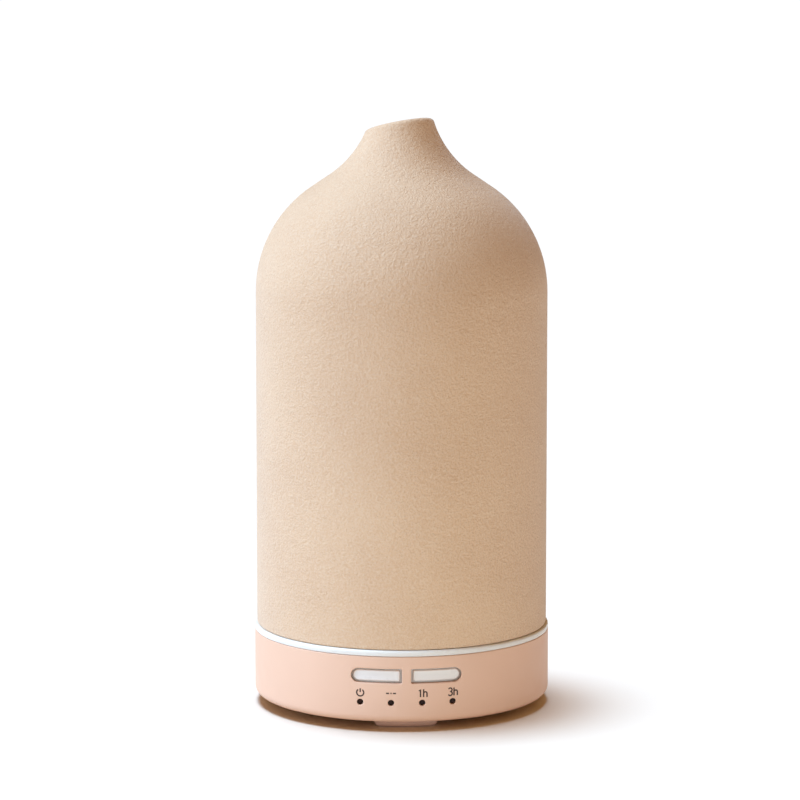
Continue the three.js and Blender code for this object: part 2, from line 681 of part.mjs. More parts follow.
function powerSocket() {
  const bottom = ON_BOARD;
  const top = 2 * SOCKET_HEIGHT - bottom;
  const body = box(-4.6, 4.6, 31.5, 43.6, bottom, top);
  const nose = rodAlongY(0, SOCKET_HEIGHT, SOCKET_NOSE_RADIUS, 43, SOCKET_FACE_Y, 24);
  const bore = rodAlongY(0, SOCKET_HEIGHT, SOCKET_BORE, 34, SOCKET_FACE_Y + PAST, 24);
  return cut(join(body, nose), bore);
}

function socketPin() {
  return rodAlongY(0, SOCKET_HEIGHT, 1, 34.05, 44.6, 12);
}

function chip(x, y, width, depth, height) {
  return box(x - width / 2, x + width / 2, y - depth / 2, y + depth / 2, ON_BOARD, ON_BOARD + height);
}

// Finned extrusion that the driver transistor leans on.
function heatSink() {
  const [x0, x1, y0, y1] = [20, 34, 10.6, 20.6];
  const base = box(x0, x1, y0, y0 + 2, ON_BOARD, ON_BOARD + 10);
  const fins = [0, 1, 2, 3, 4].map((n) => {
    const x = x0 + n * 3.2;
    return box(x, x + 1.2, y0 + 1, y1, ON_BOARD, ON_BOARD + 10);
  });
  return join(base, ...fins);
}

// Wire wound on a ferrite bobbin.
function inductor() {
  const z = ON_BOARD;
  return turned([
    [0, z],
    [4, z],
    [4, z + 1.2],
    [2.9, z + 2],
    [2.9, z + 6],
    [4, z + 6.8],
    [4, z + 8],
    [0, z + 8],
  ], MID_ROUND);
}

// Electrolytic can with a rolled groove near the foot.
function capacitor() {
  const z = ON_BOARD;
  return turned([
    [0, z],
    [3.8, z],
    [4, z + 0.6],
    [3.8, z + 1.6],
    [4, z + 2.2],
    [4, z + 10.4],
    [3.6, z + 11],
    [0, z + 11],
  ], MID_ROUND);
}

// A two-pin wire header: a box with a socket in the top.
function header(x, y) {
  const body = chip(x, y, 5.8, 4.6, 5.6);
  return cut(body, box(x - 2.1, x + 2.1, y - 1.4, y + 1.4, ON_BOARD + 2, ON_BOARD + 6 + PAST));
}

// ---------- Screws ----------

// A pan-head screw standing head down at Z 0, with the driver recess in the head.
function screw(headRadius, headHeight, shankRadius, length) {
  const body = turned([
    [0, 0],
    [headRadius * 0.8, 0],
    [headRadius, headHeight * 0.5],
    [headRadius, headHeight],
    [shankRadius, headHeight],
    [shankRadius, headHeight + length - shankRadius],
    [0, headHeight + length],
  ], SMALL_ROUND);
  const slotHalf = headRadius * 0.6;
  const deep = headHeight * 0.55;
  const slotA = box(-slotHalf, slotHalf, -0.3, 0.3, -PAST, deep);
  const slotB = box(-0.3, 0.3, -slotHalf, slotHalf, -PAST, deep);
  return cut(body, slotA, slotB);
}

// ---------- Leads ----------

function lead(points, radius, steps) {
  const shape = new THREE.Shape();
  shape.absarc(0, 0, radius, 0, 2 * Math.PI, false);
  const route = new THREE.CatmullRomCurve3(points.map((p) => new THREE.Vector3(...p)));
  const options = { steps, curveSegments: 4, extrudePath: route, bevelEnabled: false };
  return new THREE.ExtrudeGeometry(shape, options);
}

// Flat ribbon from the back of the button board over to the front edge of the main board.
function buttonRibbon() {
  const section = new THREE.Shape();
  section.moveTo(-34.4, 7.6);
  section.lineTo(-33.7, 7.6);
  section.quadraticCurveTo(-33.4, 11.6, -29.2, 11.6);
  section.quadraticCurveTo(-27.6, 11.6, -27.6, 9.1);
  section.lineTo(-26.9, 9.1);
  section.quadraticCurveTo(-26.8, 12.4, -29.2, 12.4);
  section.quadraticCurveTo(-34.2, 12.4, -34.4, 7.6);
  // The section is drawn in YZ and swept 8 mm along X.
  const ribbon = new THREE.ExtrudeGeometry(section, { depth: 8, bevelEnabled: false, curveSegments: 6 });
  return ribbon.rotateX(Math.PI / 2).rotateZ(Math.PI / 2).translate(-3, 0, 0);
}

// ---------- Scene graph ----------

function mesh(name, geometry, meshMaterial) {
  const made = new THREE.Mesh(geometry, meshMaterial);
  made.name = name;
  return made;
}

function placed(object, x, y, z, turnX = 0, turnZ = 0) {
  object.position.set(x, y, z);
  object.rotation.set(turnX, 0, turnZ);
  return object;
}

function baseGroup() {
  const group = new THREE.Group();
  group.add(mesh("base_shell", baseShell(), MATERIALS.basePlastic));
  group.add(mesh("bottom_cover", bottomCover(), MATERIALS.basePlastic));
  for (const [name, bearing] of Object.entries(FOOT_BEARINGS))
    group.add(mesh(name, foot(bearing), MATERIALS.silicone));
  BOSS_BEARINGS.forEach((bearing, i) => {
    const made = mesh(`case_screw_${i + 1}`, screw(2.7, 1.6, 1.2, 9), MATERIALS.steel);
    group.add(placed(made, ...onCircle(BOSS_CIRCLE, bearing), FLOOR_BOTTOM + 0.15));
  });
  return group;
}

function lightGroup() {
  const group = new THREE.Group();
  group.add(mesh("light_ring", lightRing(), MATERIALS.diffuserPlastic));
  group.add(mesh("light_board", lightBoard(), MATERIALS.boardGreen));
  [55, 105, 155, 205, 255, 305].forEach((bearing, i) => {
    const made = mesh(`mood_light_led_${i + 1}`, moodLed(), MATERIALS.ledYellow);
    const middle = (LIGHT_BOARD_INNER + LIGHT_BOARD_OUTER) / 2;
    group.add(placed(made, ...onCircle(middle, bearing), 0, 0, radians(bearing)));
  });
  return group;
}

function tankGroup() {
  const group = new THREE.Group();
  group.add(mesh("water_tank", waterTank(), MATERIALS.tankPlastic));
  group.add(mesh("tank_gasket", tankGasket(), MATERIALS.clearSilicone));
  group.add(mesh("transducer_seal", transducerSeal(), MATERIALS.clearSilicone));
  group.add(mesh("transducer_disc", transducerDisc(), MATERIALS.brass));
  group.add(mesh("transducer_clamp", transducerClamp(), MATERIALS.steel));
  const headHeight = 1.2;
  const headBottom = COLLAR_BOTTOM - GAP - CLAMP_THICKNESS - HEAD_GAP - headHeight;
  CLAMP_SCREW_BEARINGS.forEach((bearing, i) => {
    const made = mesh(`clamp_screw_${i + 1}`, screw(1.9, headHeight, 0.9, 4.6), MATERIALS.steel);
    group.add(placed(made, ...onCircle(CLAMP_SCREW_CIRCLE, bearing), headBottom));
  });
  return group;
}

function controlGroup() {
  const group = new THREE.Group();
  const names = { "-1": "mist", 1: "light" };
  for (const side of [-1, 1]) {
    group.add(mesh(`${names[side]}_button`, button(side), MATERIALS.buttonPlastic));
    group.add(mesh(`${names[side]}_switch`, tactSwitch(side), MATERIALS.blackPlastic));
    group.add(mesh(`${names[side]}_switch_plunger`, switchPlunger(side), MATERIALS.whitePlastic));
  }
  group.add(mesh("button_board", buttonBoard(), MATERIALS.boardGreen));
  group.add(mesh("indicator_light_guide", indicatorLightGuide(), MATERIALS.smokedPlastic));
  INDICATOR_BEARINGS.forEach((bearing, i) =>
    group.add(mesh(`indicator_led_${i + 1}`, indicatorLed(bearing), MATERIALS.ledYellow)));
  group.add(mesh("button_ribbon", buttonRibbon(), MATERIALS.whitePlastic));
  return group;
}

function fanGroup() {
  const group = new THREE.Group();
  group.add(mesh("fan_frame", fanFrame(), MATERIALS.blackPlastic));
  group.add(mesh("fan_coil", fanCoil(), MATERIALS.copper));
  group.add(mesh("fan_rotor", fanRotor(), MATERIALS.blackPlastic));
  group.position.set(FAN_X, FAN_Y, 0);
  return group;
}

function fanScrews() {
  const group = new THREE.Group();
  const headHeight = 1.4;
  const headTop = FAN_BOTTOM + FAN_HEIGHT + HEAD_GAP + headHeight;
  fanScrewPlaces().forEach(([x, y], i) => {
    const made = mesh(`fan_screw_${i + 1}`, screw(2.4, headHeight, 0.95, 11.4), MATERIALS.steel);
    group.add(placed(made, x, y, headTop, Math.PI));
  });
  return group;
}

function powerGroup() {
  const group = new THREE.Group();
  group.add(mesh("main_board", mainBoard(), MATERIALS.boardGreen));
  group.add(mesh("power_socket", powerSocket(), MATERIALS.blackPlastic));
  group.add(mesh("power_socket_pin", socketPin(), MATERIALS.brass));
  group.add(mesh("controller_chip", chip(16, -10, 10, 6, 1.6), MATERIALS.blackPlastic));
  group.add(mesh("driver_transistor", chip(27, 8, 10, 4.4, 9), MATERIALS.blackPlastic));
  group.add(mesh("heat_sink", heatSink(), MATERIALS.aluminium));
  group.add(placed(mesh("inductor", inductor(), MATERIALS.blackPlastic), 9, 12, 0));
  group.add(placed(mesh("capacitor", capacitor(), MATERIALS.blackPlastic), 11, 26, 0));
  group.add(mesh("fan_header", header(0, 2), MATERIALS.whitePlastic));
  group.add(mesh("transducer_header", header(2, -12), MATERIALS.whitePlastic));
  group.add(mesh("light_header", header(31, -8), MATERIALS.whitePlastic));
  const headHeight = 1.3;
  BOARD_POSTS.forEach(([x, y], i) => {
    const made = mesh(`board_screw_${i + 1}`, screw(2.1, headHeight, 0.9, 3.6), MATERIALS.steel);
    group.add(placed(made, x, y, ON_BOARD + headHeight, Math.PI));
  });
  return group;
}

function leadGroup() {
  const group = new THREE.Group();
  const fan = [
    [-7.6, -10.6, 6.4], [-6.9, -13.4, 7.4], [-6, -13.6, 12], [-4, -8.6, 16],
    [-2.4, -1.2, 16.8], [-0.4, 1.6, 16.4], [0, 2, 14], [0, 2, 11.6],
  ];
  const transducer = [
    [0, 0, 23.1], [0.2, -0.6, 20], [1.6, -5.5, 17.6],
    [2, -11, 17.2], [2, -12, 14.4], [2, -12, 11.6],
  ];
  const [ledX, ledY] = onCircle(LIGHT_BOARD_INNER - 1, 75);
  const light = [
    [ledX - 0.4, ledY, 20.1], [ledX - 2.6, ledY + 0.2, 19.6], [34, -9, 17.6],
    [31.4, -8.3, 16.2], [31, -8, 14.2], [31, -8, 11.6],
  ];
  group.add(mesh("fan_lead", lead(fan, 0.7, 14), MATERIALS.wire));
  group.add(mesh("transducer_lead", lead(transducer, 0.7, 10), MATERIALS.wire));
  group.add(mesh("light_lead", lead(light, 0.7, 10), MATERIALS.wire));
  return group;
}

const diffuser = new THREE.Group();
diffuser.name = "essential_oil_diffuser";
diffuser.add(baseGroup(), lightGroup(), tankGroup(), controlGroup());
diffuser.add(fanGroup(), fanScrews(), powerGroup(), leadGroup());
diffuser.add(mesh("splash_cap", splashCap(), MATERIALS.tankPlastic));
diffuser.add(mesh("ceramic_cover", ceramicCover(), MATERIALS.ceramic));

export default diffuser;
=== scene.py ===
"""Looks of the essential oil diffuser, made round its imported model.

Everything is in metres, with +Z up and the two buttons facing -Y. Bearings are in degrees from the front,
towards +X, so that 90 is the right side and 180 is the back.
"""

import math

import bmesh
import bpy
from mathutils import Matrix, Vector


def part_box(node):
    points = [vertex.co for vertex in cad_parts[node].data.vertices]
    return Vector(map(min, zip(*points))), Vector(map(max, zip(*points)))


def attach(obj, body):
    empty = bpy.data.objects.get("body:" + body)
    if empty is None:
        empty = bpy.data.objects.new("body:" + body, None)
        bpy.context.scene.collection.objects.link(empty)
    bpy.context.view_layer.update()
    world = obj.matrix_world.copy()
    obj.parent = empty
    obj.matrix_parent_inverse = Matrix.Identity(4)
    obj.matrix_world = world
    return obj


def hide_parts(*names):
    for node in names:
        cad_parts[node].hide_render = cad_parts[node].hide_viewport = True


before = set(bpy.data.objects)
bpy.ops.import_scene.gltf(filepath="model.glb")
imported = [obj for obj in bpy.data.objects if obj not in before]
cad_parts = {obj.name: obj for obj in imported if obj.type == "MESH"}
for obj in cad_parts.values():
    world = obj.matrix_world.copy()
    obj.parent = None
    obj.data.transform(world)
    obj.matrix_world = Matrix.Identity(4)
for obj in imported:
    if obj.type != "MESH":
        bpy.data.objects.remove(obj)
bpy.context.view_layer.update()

MM = 0.001
COLUMNS = 192  # steps round a large turned piece
FINE_COLUMNS = 360  # steps round the base, where openings are cut
DISC_COLUMNS = 96  # steps round the mist disc and what holds it
SMALL_COLUMNS = 40  # steps round a rod or pin
SMOOTH_ANGLE = math.radians(32)

# ---------- Dimensions ----------

COVER_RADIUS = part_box("ceramic_cover")[1].x
COVER_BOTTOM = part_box("ceramic_cover")[0].z
COVER_WALL = 4 * MM
SHOULDER_HEIGHT = 132.8 * MM
SHOULDER_RADIUS = 39.9 * MM
SLOPE_ANGLE = math.radians(55.8)
SLOPE_LENGTH = 7 * MM
NECK_RADIUS = 33.1 * MM
MOUTH_HEIGHT = 186.3 * MM
MOUTH_SLANT = math.radians(16)
MOUTH_BEARING = 38
LIP_ROUND = 1.5 * MM

BASE_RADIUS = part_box("base_shell")[1].x
BASE_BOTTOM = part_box("base_shell")[0].z
BASE_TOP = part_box("base_shell")[1].z
BASE_BORE = BASE_RADIUS - 1.8 * MM
RING_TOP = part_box("light_ring")[1].z
RING_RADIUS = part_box("light_ring")[1].x

BUTTON_HEIGHT = sum(corner.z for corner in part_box("light_button")) / 2
OPENING_INNER_X = 1.45 * MM
OPENING_OUTER_X = 17.3 * MM
OPENING_HALF = 2.35 * MM
OPENING_CORNER = 0.45 * MM
BUTTON_GAP = 0.65 * MM
BUTTON_FLANGE = 0.55 * MM
BUTTON_RECESS = 0.9 * MM
INDICATOR_HEIGHT = sum(corner.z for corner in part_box("indicator_light_guide")) / 2
INDICATOR_BEARINGS = (-17.9, -5.95, 5.95, 17.9)
INDICATOR_RADIUS = 1 * MM
SOCKET_HEIGHT = sum(corner.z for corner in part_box("power_socket_pin")) / 2
SOCKET_HOLE_RADIUS = 4.6 * MM

TANK_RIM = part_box("water_tank")[1].z
TANK_RADIUS = 37 * MM
TANK_BORE = 35.2 * MM
SKIRT_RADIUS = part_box("splash_cap")[1].x
SKIRT_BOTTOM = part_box("splash_cap")[0].z
CHIMNEY_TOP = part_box("splash_cap")[1].z
BOSS_BEARINGS = (55, 145, 215, 305)
BOSS_CIRCLE = 37.8 * MM
CLAMP_BEARINGS = (90, 270)
CLAMP_CIRCLE = 14.4 * MM

FLOOR_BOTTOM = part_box("bottom_cover")[0].z
FLOOR_TOP = 4.8 * MM
FLOOR_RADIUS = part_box("bottom_cover")[1].x
FEET = {"foot_front": 0, "foot_right_rear": 120, "foot_left_rear": 240}
FOOT_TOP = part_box("foot_front")[1].z
FOOT_INNER = 33 * MM
FOOT_OUTER = 41 * MM
FOOT_HALF_SPAN = 15
FAN_LOW, FAN_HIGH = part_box("fan_frame")
FAN_CENTRE = (FAN_LOW + FAN_HIGH) / 2

# ---------- Mesh helpers ----------


def turn(bearing):
    """A bearing in degrees as a direction in the ground plane."""
    a = math.radians(bearing)
    return Vector((math.sin(a), -math.cos(a), 0))


def at_bearing(radius, bearing, z):
    return turn(bearing) * radius + Vector((0, 0, z))


def rounding(edge, steps):
    """Points of a rounded edge, each as its distances from the two faces that meet there."""
    points = []
    for i in range(steps + 1):
        a = math.pi / 2 * i / steps
        points.append((edge * (1 - math.cos(a)), edge * (1 - math.sin(a))))
    return points


def arc(centre, radius, start, end, steps):
    """Points of a circular arc in an outline's plane, both ends included, angles in radians."""
    points = []
    for i in range(steps + 1):
        a = start + (end - start) * i / steps
        points.append((centre[0] + radius * math.cos(a), centre[1] + radius * math.sin(a)))
    return points


def circle(x, y, radius, steps=SMALL_COLUMNS):
    return arc((x, y), radius, 0, 2 * math.pi, steps)[:-1]


def bezier(points, steps):
    a, b, c, d = (Vector(p) for p in points)
    curve = []
    for i in range(steps + 1):
        t = i / steps
        s = 1 - t
        curve.append((a * s ** 3 + b * 3 * s * s * t + c * 3 * s * t * t + d * t ** 3)[:])
    return curve


def filleted(corners, steps=5):
    """A closed outline from corners (u, v, fillet radius). A corner with no radius stays sharp."""
    points = []
    for i, (u, v, radius) in enumerate(corners):
        if not radius:
            points.append((u, v))
            continue
        corner = Vector((u, v))
        before = (Vector(corners[i - 1][:2]) - corner).normalized()
        after = (Vector(corners[(i + 1) % len(corners)][:2]) - corner).normalized()
        half = before.angle(after) / 2
        centre = corner + (before + after).normalized() * (radius / math.sin(half))
        first = corner + before * (radius / math.tan(half)) - centre
        last = corner + after * (radius / math.tan(half)) - centre
        start = math.atan2(first.y, first.x)
        sweep = (math.atan2(last.y, last.x) - start + math.pi) % (2 * math.pi) - math.pi
        points += arc(centre, radius, start, start + sweep, steps)
    return points


def rounded_box(x0, x1, y0, y1, corner, steps=6):
    return filleted([(x0, y0, corner), (x1, y0, corner), (x1, y1, corner), (x0, y1, corner)], steps)


def new_object(name, mesh):
    obj = bpy.data.objects.new(name, mesh)
    bpy.context.scene.collection.objects.link(obj)
    return obj


def mesh_object(name, vertices, faces):
    """A new object from vertices and faces, with doubles merged and its faces pointing out."""
    mesh = bpy.data.meshes.new(name)
    mesh.from_pydata([tuple(v) for v in vertices], [], faces)
    work = bmesh.new()
    work.from_mesh(mesh)
    bmesh.ops.remove_doubles(work, verts=work.verts, dist=1e-7)
    bmesh.ops.recalc_face_normals(work, faces=work.faces)
    work.to_mesh(mesh)
    work.free()
    return new_object(name, mesh)


def loft(name, loops, wrap=False):
    """A closed skin over loops of equally many points, with its ends filled or joined to each other."""
    count = len(loops[0])
    vertices = [p for loop in loops for p in loop]
    faces = []
    for i in range(len(loops) if wrap else len(loops) - 1):
        a = i * count
        b = ((i + 1) % len(loops)) * count
        for k in range(count):
            n = (k + 1) % count
            faces.append((a + k, a + n, b + n, b + k))
    if not wrap:
        faces.append(tuple(range(count)))
        faces.append(tuple(range((len(loops) - 1) * count, len(loops) * count)))
    return mesh_object(name, vertices, faces)


def lathe(name, outline, columns=COLUMNS, centre=(0, 0)):
    """A closed outline of (radius, height), turned round a vertical axis through centre."""
    middle = Vector((*centre, 0))
    loops = []
    for c in range(columns):
        way = turn(360 * c / columns)
        loops.append([middle + way * r + Vector((0, 0, z)) for r, z in outline])
    return loft(name, loops, wrap=True)


def rod(name, start, end, radius, edge=0.0, columns=SMALL_COLUMNS):
    """A round bar between two points, with its end edges rounded by edge."""
    start = Vector(start)
    length = (Vector(end) - start).length
    outline = filleted([(0, 0, 0), (radius, 0, edge), (radius, length, edge), (0, length, 0)], 3)
    obj = lathe(name, outline, columns)
    aim = (Vector(end) - start).to_track_quat("Z", "Y").to_matrix().to_4x4()
    obj.data.transform(Matrix.Translation(start) @ aim)
    return obj


def upright(name, x, y, radius, z0, z1, edge=0.0):
    return rod(name, (x, y, z0), (x, y, z1), radius, edge)


def pillar(name, outline_at, z0, z1, low_edge=0.0, high_edge=0.0, steps=4):
    """A flat outline stood from z0 to z1 with its end edges rounded. outline_at(inset) draws it."""
    levels = [(z0, 0)]
    if low_edge:
        levels = [(z0 + rise, inset) for rise, inset in rounding(low_edge, steps)]
    if high_edge:
        levels += [(z1 - drop, inset) for drop, inset in reversed(rounding(high_edge, steps))]
    else:
        levels.append((z1, 0))
    return loft(name, [[(x, y, z) for x, y in outline_at(inset)] for z, inset in levels])


def block(name, x0, x1, y0, y1, z0, z1, edge=0.0):
    """A box with every edge rounded by edge."""
    work = bmesh.new()
    bmesh.ops.create_cube(work, size=1)
    bmesh.ops.scale(work, vec=(x1 - x0, y1 - y0, z1 - z0), verts=work.verts)
    bmesh.ops.translate(work, vec=((x0 + x1) / 2, (y0 + y1) / 2, (z0 + z1) / 2), verts=work.verts)
    if edge:
        bmesh.ops.bevel(work, geom=work.edges[:], offset=edge, segments=2, profile=0.5, affect="EDGES")
    mesh = bpy.data.meshes.new(name)
    work.to_mesh(mesh)
    work.free()
    return new_object(name, mesh)


def combined(obj, others, operation):
    """Joins other solids to obj or cuts them out of it, and removes them."""
    for other in others:
        modifier = obj.modifiers.new("combine", "BOOLEAN")
        modifier.operation = operation
        modifier.solver = "MANIFOLD"
        modifier.object = other
        graph = bpy.context.evaluated_depsgraph_get()
        before = obj.data
        obj.data = bpy.data.meshes.new_from_object(obj.evaluated_get(graph))
        obj.modifiers.clear()
        bpy.data.meshes.remove(before)
        bpy.data.objects.remove(other)
    return obj


def joined(obj, *others):
    return combined(obj, others, "UNION")


def carved(obj, *others):
    return combined(obj, others, "DIFFERENCE")


def dressed(obj, body, slot, *nodes, material=None):
    """Gives a finished piece its shading, material and body, and hides the CAD nodes that it stands for."""
    obj.data.materials.clear()
    obj.data.materials.append(material or MATERIALS[slot])
    obj.data.shade_smooth()
    obj.data.set_sharp_from_angle(angle=SMOOTH_ANGLE)
    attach(obj, body)
    if nodes:
        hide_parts(*nodes)
    return obj


# ---------- Material helpers ----------


class Shader:
    """A Principled material whose textures are placed in the object's own metres."""

    def __init__(self, name, **values):
        self.material = bpy.data.materials.new(name)
        self.material.use_nodes = True
        self.nodes = self.material.node_tree.nodes
        self.links = self.material.node_tree.links
        self.shader = self.nodes["Principled BSDF"]
        self.place = self.nodes.new("ShaderNodeTexCoord").outputs["Object"]
        for key, value in values.items():
            self.shader.inputs[key.replace("_", " ")].default_value = value

    def noise(self, size, detail=3.0, roughness=0.5, stretch=None):
        """Noise whose features are about size across."""
        node = self.nodes.new("ShaderNodeTexNoise")
        node.inputs["Scale"].default_value = 1 / size
        node.inputs["Detail"].default_value = detail
        node.inputs["Roughness"].default_value = roughness
        self.links.new(self.stretched(stretch), node.inputs["Vector"])
        return node.outputs["Fac"]

    def cells(self, size):
        """Distance from the middle of scattered cells that are about size apart."""
        node = self.nodes.new("ShaderNodeTexVoronoi")
        node.inputs["Scale"].default_value = 1 / size
        self.links.new(self.place, node.inputs["Vector"])
        return node.outputs["Distance"]

    def stretched(self, stretch):
        if stretch is None:
            return self.place
        node = self.nodes.new("ShaderNodeMapping")
        node.inputs["Scale"].default_value = stretch
        self.links.new(self.place, node.inputs["Vector"])
        return node.outputs["Vector"]

    def bands(self, size, kind="RINGS", distortion=0.0):
        """Fine rings round Z, or level bands along Z, size apart."""
        node = self.nodes.new("ShaderNodeTexWave")
        node.wave_type = kind
        node.rings_direction = "Z"
        node.bands_direction = "Z"
        node.inputs["Scale"].default_value = math.pi / 10 / size
        node.inputs["Distortion"].default_value = distortion
        self.links.new(self.place, node.inputs["Vector"])
        return node.outputs["Fac"]

    def ranged(self, value, low, high, start=0.3, end=0.7):
        """Maps value between start and end to low and high."""
        node = self.nodes.new("ShaderNodeMapRange")
        self.links.new(value, node.inputs["Value"])
        for key, number in (("From Min", start), ("From Max", end), ("To Min", low), ("To Max", high)):
            node.inputs[key].default_value = number
        return node.outputs["Result"]

    def mixed(self, factor, first, second):
        """Two colours, each an (r, g, b) or a socket, mixed by a factor socket."""
        node = self.nodes.new("ShaderNodeMix")
        node.data_type = "RGBA"
        self.links.new(factor, node.inputs["Factor"])
        for key, colour in (("A", first), ("B", second)):
            socket = [s for s in node.inputs if s.name == key and s.type == "RGBA"][0]
            if isinstance(colour, tuple):
                socket.default_value = (*colour, 1)
            else:
                self.links.new(colour, socket)
        return [s for s in node.outputs if s.type == "RGBA"][0]

    def colour(self, socket):
        self.links.new(socket, self.shader.inputs["Base Color"])

    def rough(self, socket):
        self.links.new(socket, self.shader.inputs["Roughness"])

    def bump(self, *layers):
        """Layers of (height socket, depth), and the finished material."""
        normal = None
        for height, depth in layers:
            node = self.nodes.new("ShaderNodeBump")
            node.inputs["Distance"].default_value = depth
            self.links.new(height, node.inputs["Height"])
            if normal is not None:
                self.links.new(normal, node.inputs["Normal"])
            normal = node.outputs["Normal"]
        self.links.new(normal, self.shader.inputs["Normal"])
        return self.material


def shaded(colour, factor):
    return tuple(min(1.0, c * factor) for c in colour)


def moulded(name, colour, roughness, grain=0.15 * MM, depth=0.006 * MM, spread=0.03, **values):
    """Injection-moulded plastic: a faint cloudiness, a fine spark-eroded grain and uneven gloss."""
    s = Shader(name, **values)
    fine = s.noise(grain, 2, 0.6)
    clouds = s.ranged(s.noise(18 * MM, 2), 0, 1)
    body = s.mixed(clouds, shaded(colour, 1 - spread), shaded(colour, 1 + spread))
    s.colour(s.mixed(s.ranged(fine, 0, 0.35), body, shaded(colour, 1 - 2 * spread)))
    s.rough(s.ranged(s.noise(5 * MM, 3), roughness - 0.05, roughness + 0.06))
    return s.bump((fine, depth), (s.noise(9 * MM, 2), 0.02 * MM))


def ceramic():
    """Unglazed stoneware: sandy grain, pinholes and a soft mottling."""
    s = Shader("stoneware", Specular_IOR_Level=0.35, Sheen_Weight=0.3, Sheen_Roughness=0.4)
    grain = s.noise(0.62 * MM, 4, 0.62)
    pits = s.cells(0.95 * MM)
    speck = s.cells(2.6 * MM)
    clouds = s.ranged(s.noise(34 * MM, 3, 0.55), 0, 1)
    body = s.mixed(clouds, (0.666, 0.420, 0.250), (0.729, 0.478, 0.292))
    body = s.mixed(s.ranged(grain, 0, 0.55, 0.38, 0.7), body, (0.81, 0.62, 0.44))
    body = s.mixed(s.ranged(pits, 0.45, 0, 0.02, 0.16), body, (0.47, 0.37, 0.28))
    s.colour(s.mixed(s.ranged(speck, 0.5, 0, 0.03, 0.07), body, (0.36, 0.28, 0.21)))
    s.rough(s.ranged(s.noise(2 * MM, 3), 0.72, 0.9))
    return s.bump((grain, 0.30 * MM), (pits, 0.08 * MM), (s.noise(1.5 * MM, 3, 0.6), 0.20 * MM))


def rubber(name, colour, roughness=0.62):
    """Silicone: matte, with dust-like specks and a soft orange peel."""
    s = Shader(name, Sheen_Weight=0.12, Sheen_Roughness=0.5)
    dust = s.noise(0.35 * MM, 3, 0.65)
    body = s.mixed(s.ranged(s.noise(6 * MM, 2), 0, 1), shaded(colour, 0.93), shaded(colour, 1.05))
    s.colour(s.mixed(s.ranged(dust, 0, 0.3, 0.55, 0.75), body, shaded(colour, 1.25)))
    s.rough(s.ranged(dust, roughness - 0.06, roughness + 0.1))
    return s.bump((dust, 0.012 * MM), (s.noise(2 * MM, 2), 0.03 * MM))


def metal(name, colour, roughness, rings=None):
    """Plated or rolled metal with fine directional scratches, or with turned rings that far apart."""
    s = Shader(name, Metallic=1.0)
    fine = s.bands(rings, distortion=0.6) if rings else s.noise(0.5 * MM, 4, 0.7, stretch=(1, 1, 14))
    s.colour(s.mixed(s.ranged(s.noise(3 * MM, 3, 0.6), 0, 1), shaded(colour, 0.86), shaded(colour, 1.06)))
    s.rough(s.ranged(fine, roughness - 0.08, roughness + 0.12, 0.2, 0.8))
    return s.bump((fine, 0.004 * MM))


def circuit_board():
    """Solder mask with copper tracks under it and tinned pads."""
    s = Shader("circuit_board", Coat_Weight=0.3, Coat_Roughness=0.15)
    tracks = s.nodes.new("ShaderNodeTexBrick")
    tracks.inputs["Scale"].default_value = 1 / (9 * MM)
    tracks.inputs["Mortar Size"].default_value = 0.05
    tracks.inputs["Brick Width"].default_value = 0.55
    tracks.inputs["Row Height"].default_value = 0.22
    s.links.new(s.place, tracks.inputs["Vector"])
    weave = s.noise(0.4 * MM, 2, stretch=(1, 1, 6))
    mask = s.mixed(s.ranged(weave, 0, 1), (0.018, 0.115, 0.055), (0.03, 0.155, 0.075))
    body = s.mixed(tracks.outputs["Fac"], mask, (0.07, 0.27, 0.12))
    s.colour(s.mixed(s.ranged(s.cells(4.2 * MM), 1, 0, 0.13, 0.15), body, (0.62, 0.60, 0.55)))
    s.rough(s.ranged(weave, 0.28, 0.42))
    return s.bump((tracks.outputs["Fac"], 0.03 * MM))


def winding():
    """Enamelled copper wire in even turns round a vertical axis."""
    s = Shader("copper_winding", Metallic=0.9, Coat_Weight=0.5, Coat_Roughness=0.1)
    turns = s.bands(0.35 * MM, kind="BANDS")
    s.colour(s.mixed(s.ranged(turns, 0, 1, 0, 1), (0.30, 0.10, 0.035), (0.74, 0.34, 0.14)))
    s.rough(s.ranged(s.noise(0.8 * MM), 0.25, 0.4))
    return s.bump((turns, 0.1 * MM))


def phosphor():
    """A small white LED: milky yellow phosphor under clear resin."""
    s = Shader("led_phosphor", Coat_Weight=0.8, Coat_Roughness=0.05)
    spot = s.noise(0.3 * MM, 2)
    s.colour(s.mixed(s.ranged(spot, 0, 1), (0.85, 0.68, 0.20), (0.92, 0.80, 0.38)))
    s.rough(s.ranged(spot, 0.2, 0.3))
    return s.bump((spot, 0.01 * MM))


def studio_floor():
    s = Shader("studio_floor", Specular_IOR_Level=0.1)
    s.colour(s.mixed(s.ranged(s.noise(0.4, 2), 0, 1), (0.93, 0.90, 0.86), (0.95, 0.92, 0.88)))
    s.rough(s.ranged(s.noise(0.3, 2), 0.85, 0.95))
    return s.bump((s.noise(0.2, 2), 0.01 * MM))


BASE_COLOUR = (0.79, 0.49, 0.335)

